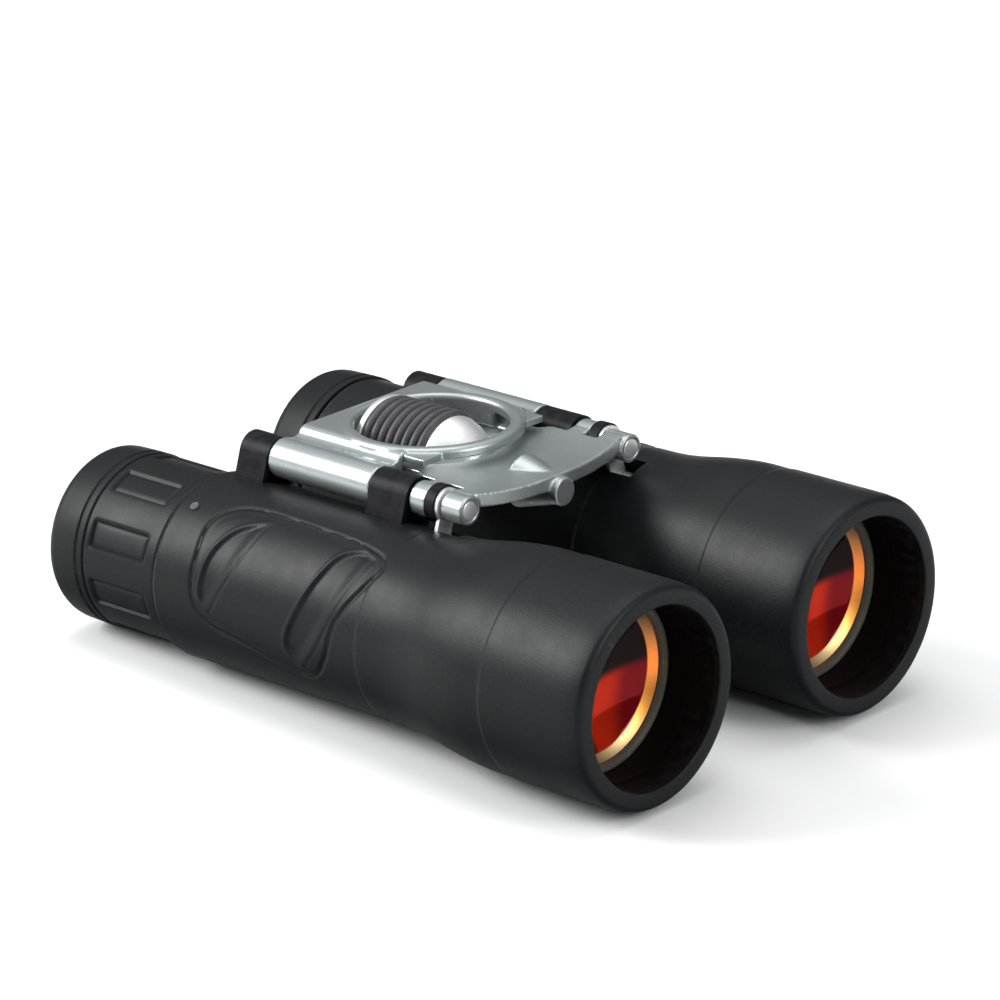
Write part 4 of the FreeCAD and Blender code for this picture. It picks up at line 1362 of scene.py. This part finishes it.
@dataclass(frozen=True)
class LensShape:
    """A ground lens about the Y axis.

    Attributes:
        start: front of the cylindrical edge.
        radius: edge radius.
        front: radius of the front surface, positive when it bulges.
        edge: width of the cylindrical edge.
        back: radius of the back surface, positive when it bulges.
        chamfer: protective chamfer on both edges.
        rings: circles on each surface.
    """

    start: float
    radius: float
    front: float
    edge: float
    back: float
    chamfer: float = 0.15
    rings: int = 24

    def sag(self, curve: float, radius: float) -> float:
        """Depth of a surface at a radius, negative when it is hollow."""
        depth = abs(curve) - math.sqrt(curve ** 2 - radius ** 2)
        return math.copysign(depth, curve)

    def lathe(self) -> Lathe:
        """The lens as a turned shape."""
        reach = self.radius - self.chamfer
        rings = [reach * math.sin(math.pi / 2 * i / self.rings) for i in range(self.rings + 1)]
        deep = self.sag(self.front, reach)
        line = [(self.start - deep + self.sag(self.front, r), r) for r in rings]
        line += [(self.start + self.chamfer, self.radius),
                 (self.start + self.edge - self.chamfer, self.radius)]
        stop = self.start + self.edge
        deep = self.sag(self.back, reach)
        line += [(stop + deep - self.sag(self.back, r), r) for r in reversed(rings)]
        return Lathe(line, even_columns(ROUND))


@dataclass
class Objectives(Assembly):
    """Front lenses with their ruby coating and the rings that hold them."""

    ring_front: float = 12.6
    clear_radius: float = 16.0
    lens_radius: float = 16.4
    lens_front: float = 13.72
    lens_back: float = 18.6
    dish_edge: float = 15.1
    dish_radius: float = 14.65
    curve: float = 36.0
    columns: int = 180

    def ring(self, side: Side) -> bpy.types.Object:
        """Build the retaining ring in front of the lens.

        Args:
            side: the barrel.

        Returns:
            The finished piece.
        """
        front = self.ring_front
        corners = [
            (front, self.clear_radius + 0.28, 0.06),
            (front, self.lens_radius, 0.04),
            (front + 1.1, self.lens_radius, 0.04),
            (front + 1.1, self.clear_radius, 0.05),
            (front + 0.85, self.clear_radius - 0.02, 0.05),
        ]
        piece = self.turned(f"{side.value}_lens_ring", corners, self.places.barrel(side), True, 160)
        return self.finish(piece, Slot.BLACK_METAL, f"{side.value}_carriage", f"{side.value}_objective_ring")

    def cell(self, side: Side) -> bpy.types.Object:
        """Build the cell that carries the lenses.

        Args:
            side: the barrel.

        Returns:
            The finished piece.
        """
        seat = 19.2
        corners = [
            (12.4, self.lens_radius + 0.05, 0.1),
            (seat, self.lens_radius + 0.05, 0),
            (seat, 15.2, 0.1),
            (seat + 1.2, 15.2, 0.1),
            (seat + 1.2, 16.3, 0),
            (32.6, 16.3, 0),
            (32.6, 13.8, 0.1),
            (34.0, 13.8, 0.1),
            (34.0, 17.6, 0.3),
            (12.4, 17.6, 0.35),
        ]
        piece = self.turned(f"{side.value}_lens_cell", corners, self.places.barrel(side), True, 144)
        return self.finish(piece, Slot.BLACK_METAL, f"{side.value}_carriage", f"{side.value}_objective_cell")

    def depth(self, radius: float) -> float:
        """How far the coated face has risen from its middle at a radius."""
        return self.curve - math.sqrt(self.curve ** 2 - radius ** 2)

    def lens(self, side: Side) -> bpy.types.Object:
        """Build the coated front lens.

        Args:
            side: the barrel.

        Returns:
            The finished piece.
        """
        rings = np.linspace(0, self.dish_radius, 31)
        bottom = self.dish_edge + self.depth(self.dish_radius)
        line = [(bottom - self.depth(radius), radius) for radius in rings]
        line += softened([
            (self.dish_edge, self.dish_radius, 0),
            (self.lens_front, self.clear_radius - 0.08, 0.12),
            (self.lens_front, self.lens_radius - 0.02, 0.05),
            (self.lens_back, self.lens_radius - 0.02, 0.2),
            (self.lens_back, 0, 0),
        ])[1:]
        lathe = Lathe(line, even_columns(self.columns))
        piece = object_from(f"{side.value}_front_glass", lathe.build(), self.places.barrel(side), crease=24.0)
        return self.finish(piece, Slot.RUBY, f"{side.value}_carriage", f"{side.value}_crown_lens")

    def build(self) -> None:
        """Build both objectives."""
        for side in Side:
            self.cell(side)
            self.ring(side)
            self.lens(side)


@dataclass
class FocusWheel(Assembly):
    """Ribbed wheel on its bright hub.

    Attributes:
        height: focus screw above the optical axes, in mm.
    """

    height: float = 21.1
    radius: float = 9.9
    start: float = 80.2
    end: float = 97.0
    tip: float = 71.7
    tip_radius: float = 2.9
    ribs: int = 8

    def place(self) -> Matrix:
        """Frame about the focus screw."""
        return self.places.bridge() @ Matrix.Translation((0, 0, self.height))

    def sleeve(self) -> bpy.types.Object:
        """Build the ribbed rubber sleeve."""
        pitch = (self.end - self.start - 0.2) / self.ribs
        first = self.start + 0.1
        line: Profile = [(first, self.radius - 2.38), (first, self.radius - 0.9)]
        for index in range(self.ribs):
            foot = first + pitch * index
            for step in range(9):
                share = step / 8
                arch = math.sin(math.pi * share) ** 0.6 if 0 < share < 1 else 0.0
                line.append((foot + pitch * (0.04 + 0.92 * share), self.radius - 0.85 + 0.85 * arch))
        line += [(self.end - 0.1, self.radius - 0.9), (self.end - 0.1, self.radius - 2.38)]
        lathe = Lathe(line, even_columns(ROUND), True)
        piece = object_from("focus_wheel_grip", lathe.build(), self.place(), crease=60.0)
        return self.finish(piece, Slot.WHEEL, "focus_wheel", "wheel_sleeve")

    def hub(self) -> bpy.types.Object:
        """Build the domed hub with its rear flange."""
        bore = 2.01
        run, rise = self.start - 0.6 - self.tip, self.radius - 1.0 - self.tip_radius
        bend = 12.5
        chord = math.hypot(run, rise)
        middle = np.array([self.tip + run / 2, self.tip_radius + rise / 2])
        drop = math.sqrt(bend ** 2 - (chord / 2) ** 2)
        centre = middle + np.array([rise, -run]) / chord * drop
        begin = math.atan2(self.tip_radius - centre[1], self.tip - centre[0])
        finish = math.atan2(self.radius - 1.0 - centre[1], self.start - 0.6 - centre[0])
        dome = [(centre[0] + bend * math.cos(a), centre[1] + bend * math.sin(a))
                for a in np.linspace(begin, finish, 22)]
        corners = [(self.tip, bore)] + dome + softened([
            dome[-1],
            (self.start - 0.15, self.radius - 0.85, 0.2),
            (self.start, self.radius - 1.0, 0.1),
            (self.start, self.radius - 2.4, 0),
            (self.end, self.radius - 2.4, 0),
            (self.end, self.radius - 0.3, 0.2),
            (self.end + 1.5, self.radius - 0.3, 0.35),
            (self.end + 1.5, bore, 0),
        ])[1:]
        lathe = Lathe(corners, even_columns(ROUND), True)
        piece = object_from("focus_wheel_hub", lathe.build(), self.place(), crease=45.0)
        return self.finish(piece, Slot.STEEL, "focus_wheel", "wheel_hub")

    def build(self) -> None:
        """Build the wheel."""
        self.sleeve()
        self.hub()


@dataclass
class Bridge(Assembly):
    """Cast cover and front plate, with cast-soft edges, and the ends of the hinge rods.

    Attributes:
        voxel: fineness of the cast skin, in mm.
        rounds: smoothing passes that soften its corners.
        hinge_half: from the middle of the bridge to a hinge rod, in mm.
        hinge_height: hinge rods above the optical axes, in mm.
        rod_radius: radius of a rod, in mm.
        rod_start: front end of a rod along Y, in mm.
        rod_end: rear end of a rod, in mm.
        rod_chamfer: chamfer of both its ends, in mm.
        kept_share: share of the faces kept once the skin is smooth.
    """

    voxel: float = 0.24
    rounds: int = 5
    hinge_half: float = 23.3
    hinge_height: float = 22.91
    rod_radius: float = 2.0
    rod_start: float = 53.62
    rod_end: float = 112.2
    rod_chamfer: float = 0.28
    kept_share: float = 0.32

    def casting(self, name: str, node: str, body: str) -> bpy.types.Object:
        """Build a casting from the shape of a model node, with softened corners.

        Args:
            name: the piece's name.
            node: the node that has the shape.
            body: the body it rides on.

        Returns:
            The finished piece.
        """
        place = self.places.bridge()
        mesh = frame["nodes"][node].data.copy()
        mesh.transform(place.inverted())
        work = bpy.data.objects.new(name, mesh)
        bpy.context.scene.collection.objects.link(work)
        weld = work.modifiers.new("weld", "WELD")
        weld.merge_threshold = 0.001
        remesh = work.modifiers.new("skin", "REMESH")
        remesh.mode = "VOXEL"
        remesh.voxel_size = self.voxel * 1.0
        smooth = work.modifiers.new("soft", "SMOOTH")
        smooth.factor = 0.5
        smooth.iterations = self.rounds
        thin = work.modifiers.new("thin", "DECIMATE")
        thin.ratio = self.kept_share
        bpy.context.view_layer.update()
        shaped = bpy.data.meshes.new_from_object(work.evaluated_get(bpy.context.evaluated_depsgraph_get()))
        work.modifiers.clear()
        work.data = shaped
        shaped.name = name
        shaped.transform(place)
        shaped.shade_smooth()
        return self.finish(work, Slot.SILVER, body, node)

    def rod(self, side: Side) -> bpy.types.Object:
        """Build one hinge rod with chamfered ends.

        Args:
            side: the barrel it carries.

        Returns:
            The finished piece.
        """
        beside = Matrix.Translation((self.hinge_half * side.outward, 0, self.hinge_height))
        corners = [
            (self.rod_start, 0),
            (self.rod_start, self.rod_radius, self.rod_chamfer),
            (self.rod_end, self.rod_radius, self.rod_chamfer),
            (self.rod_end, 0),
        ]
        piece = self.turned(f"{side.value}_steel_rod", corners, self.places.bridge() @ beside, False, 64)
        return self.finish(piece, Slot.STEEL, "front_slider", f"{side.value}_hinge_rod")

    def build(self) -> None:
        """Build the bridge."""
        self.casting("bridge_casting", "bridge_cover", "bridge")
        self.casting("front_plate_casting", "slider_plate", "front_slider")
        for side in Side:
            self.rod(side)


class Carried:
    """The model nodes that keep their own shape and get a better finish."""

    @staticmethod
    def dress() -> int:
        """Give every node that still shows the finish that its record slot names."""
        slots = {part["node"]: part["material_slot"] for part in frame["record"]["subparts"]}
        count = 0
        for name, node in frame["nodes"].items():
            if node.hide_render:
                continue
            finish = Finishes.get(Slot(slots[name]))
            if not node.material_slots:
                node.data.materials.append(finish)
            for place in node.material_slots:
                place.material = finish
            LOG.info("%s keeps its shape, finish %s", name, finish.name)
            count += 1
        return count


# ---- studio ---------------------------------------------------------------------
@dataclass(frozen=True)
class Studio:
    """Pale floor, soft lights and the camera.

    Attributes:
        bearing: camera direction round the object in degrees; 0 looks along +Y.
        elevation: camera height above the horizon in degrees.
        distance: from the camera to the point it aims at, in metres.
        lens: focal length in mm on the sensor below.
        sensor: sensor width in mm.
        aim: the aimed-at point, measured from the middle of the floor under the object.
        boxes: softboxes as (name, place in metres, side in metres, watts).
        sky_stops: brightness of the surround as (height, colour), from the horizon up.
        sky_strength: strength of the surround.
    """

    bearing: float = -47.3
    elevation: float = 21.08
    distance: float = 1.0904
    lens: float = 198.6
    sensor: float = 36.0
    aim: tuple[float, float, float] = (0.0051, -0.0007, 0.0337)
    boxes: tuple[tuple[str, tuple[float, float, float], float, float], ...] = (
        ("key", (-0.62, 0.71, 0.60), 0.55, 13.0),
        ("top", (0.1, 0.2, 1.15), 0.8, 4.0),
        ("front", (0.1, -1.1, 0.6), 0.6, 6.0),
    )
    sky_stops: tuple[tuple[float, Colour], ...] = (
        (0.0, (0.10, 0.105, 0.11)),
        (0.34, (0.26, 0.27, 0.28)),
        (0.9, (1.0, 1.0, 1.0)),
    )
    sky_strength: float = 0.85

    def camera(self) -> None:
        """Place the camera."""
        low, high = CAD_BOX
        middle = (Vector(low) + Vector(high)) / 2
        target = Vector((middle.x, middle.y, low[2])) + Vector(self.aim)
        turn, lift = math.radians(self.bearing), math.radians(self.elevation)
        away = Vector((math.sin(turn) * math.cos(lift), -math.cos(turn) * math.cos(lift), math.sin(lift)))
        data = bpy.data.cameras.new("view")
        data.lens = self.lens
        data.sensor_width = self.sensor
        data.clip_start, data.clip_end = 0.05, 20.0
        camera = bpy.data.objects.new("view", data)
        camera.location = target + away * self.distance
        camera.rotation_euler = (-away).to_track_quat("-Z", "Y").to_euler()
        bpy.context.scene.collection.objects.link(camera)
        bpy.context.scene.camera = camera

    def softbox(self, name: str, place: Vector, size: float, power: float) -> None:
        """Hang a square soft light that looks at the object.

        Args:
            name: the light's name.
            place: where it hangs, in metres.
            size: side of the square, in metres.
            power: its power in watts.
        """
        data = bpy.data.lights.new(name, "AREA")
        data.shape, data.size, data.energy = "SQUARE", size, power
        light = bpy.data.objects.new(name, data)
        light.location = place
        light.rotation_euler = (Vector((0, 0, 0.02)) - place).to_track_quat("-Z", "Y").to_euler()
        bpy.context.scene.collection.objects.link(light)

    def sky(self) -> None:
        """Even studio surround: bright overhead and dim towards the horizon."""
        world = bpy.data.worlds.new("studio")
        bpy.context.scene.world = world
        world.use_nodes = True
        tree = world.node_tree
        back = next(n for n in tree.nodes if n.type == "BACKGROUND")
        place = tree.nodes.new("ShaderNodeTexCoord")
        split = tree.nodes.new("ShaderNodeSeparateXYZ")
        ramp = tree.nodes.new("ShaderNodeValToRGB")
        ramp.color_ramp.interpolation = "EASE"
        fill_ramp(ramp, self.sky_stops)
        tree.links.new(place.outputs["Generated"], split.inputs[0])
        tree.links.new(split.outputs["Z"], ramp.inputs["Fac"])
        tree.links.new(ramp.outputs["Color"], back.inputs["Color"])
        back.inputs["Strength"].default_value = self.sky_strength

    def floor(self) -> None:
        """Lay the pale floor."""
        mesh = bmesh.new()
        bmesh.ops.create_grid(mesh, x_segments=1, y_segments=1, size=4.0)
        data = bpy.data.meshes.new("floor")
        mesh.to_mesh(data)
        mesh.free()
        floor = bpy.data.objects.new("floor", data)
        floor.location.z = CAD_BOX[0][2] - 0.00002
        bench = Bench("floor_paper")
        drift = bench.effect("drift", Scale=3.0)
        paper = bench.mix(drift.outputs["Tone"], (0.93, 0.93, 0.93), (0.95, 0.95, 0.95))
        data.materials.append(bench.done({"Base Color": paper, "Roughness": 0.9, "Specular IOR Level": 0.1}))
        bpy.context.scene.collection.objects.link(floor)

    def build(self) -> None:
        """Set up the studio."""
        self.floor()
        self.sky()
        for name, place, size, power in self.boxes:
            self.softbox(name, Vector(place), size, power)
        self.camera()
        bpy.context.scene.view_settings.view_transform = "Standard"


def main() -> None:
    """Build every sub-assembly in order and report it."""
    logging.basicConfig(level=logging.INFO, format="%(name)s: %(message)s")
    places = Places()
    Studio().build()
    for kind in (Armour, Eyepieces, Objectives, FocusWheel, Bridge):
        assembly = kind(places)
        assembly.build()
        assembly.report()
    LOG.info("%d model nodes keep their own shape", Carried.dress())


if __name__ == "__main__":
    main()
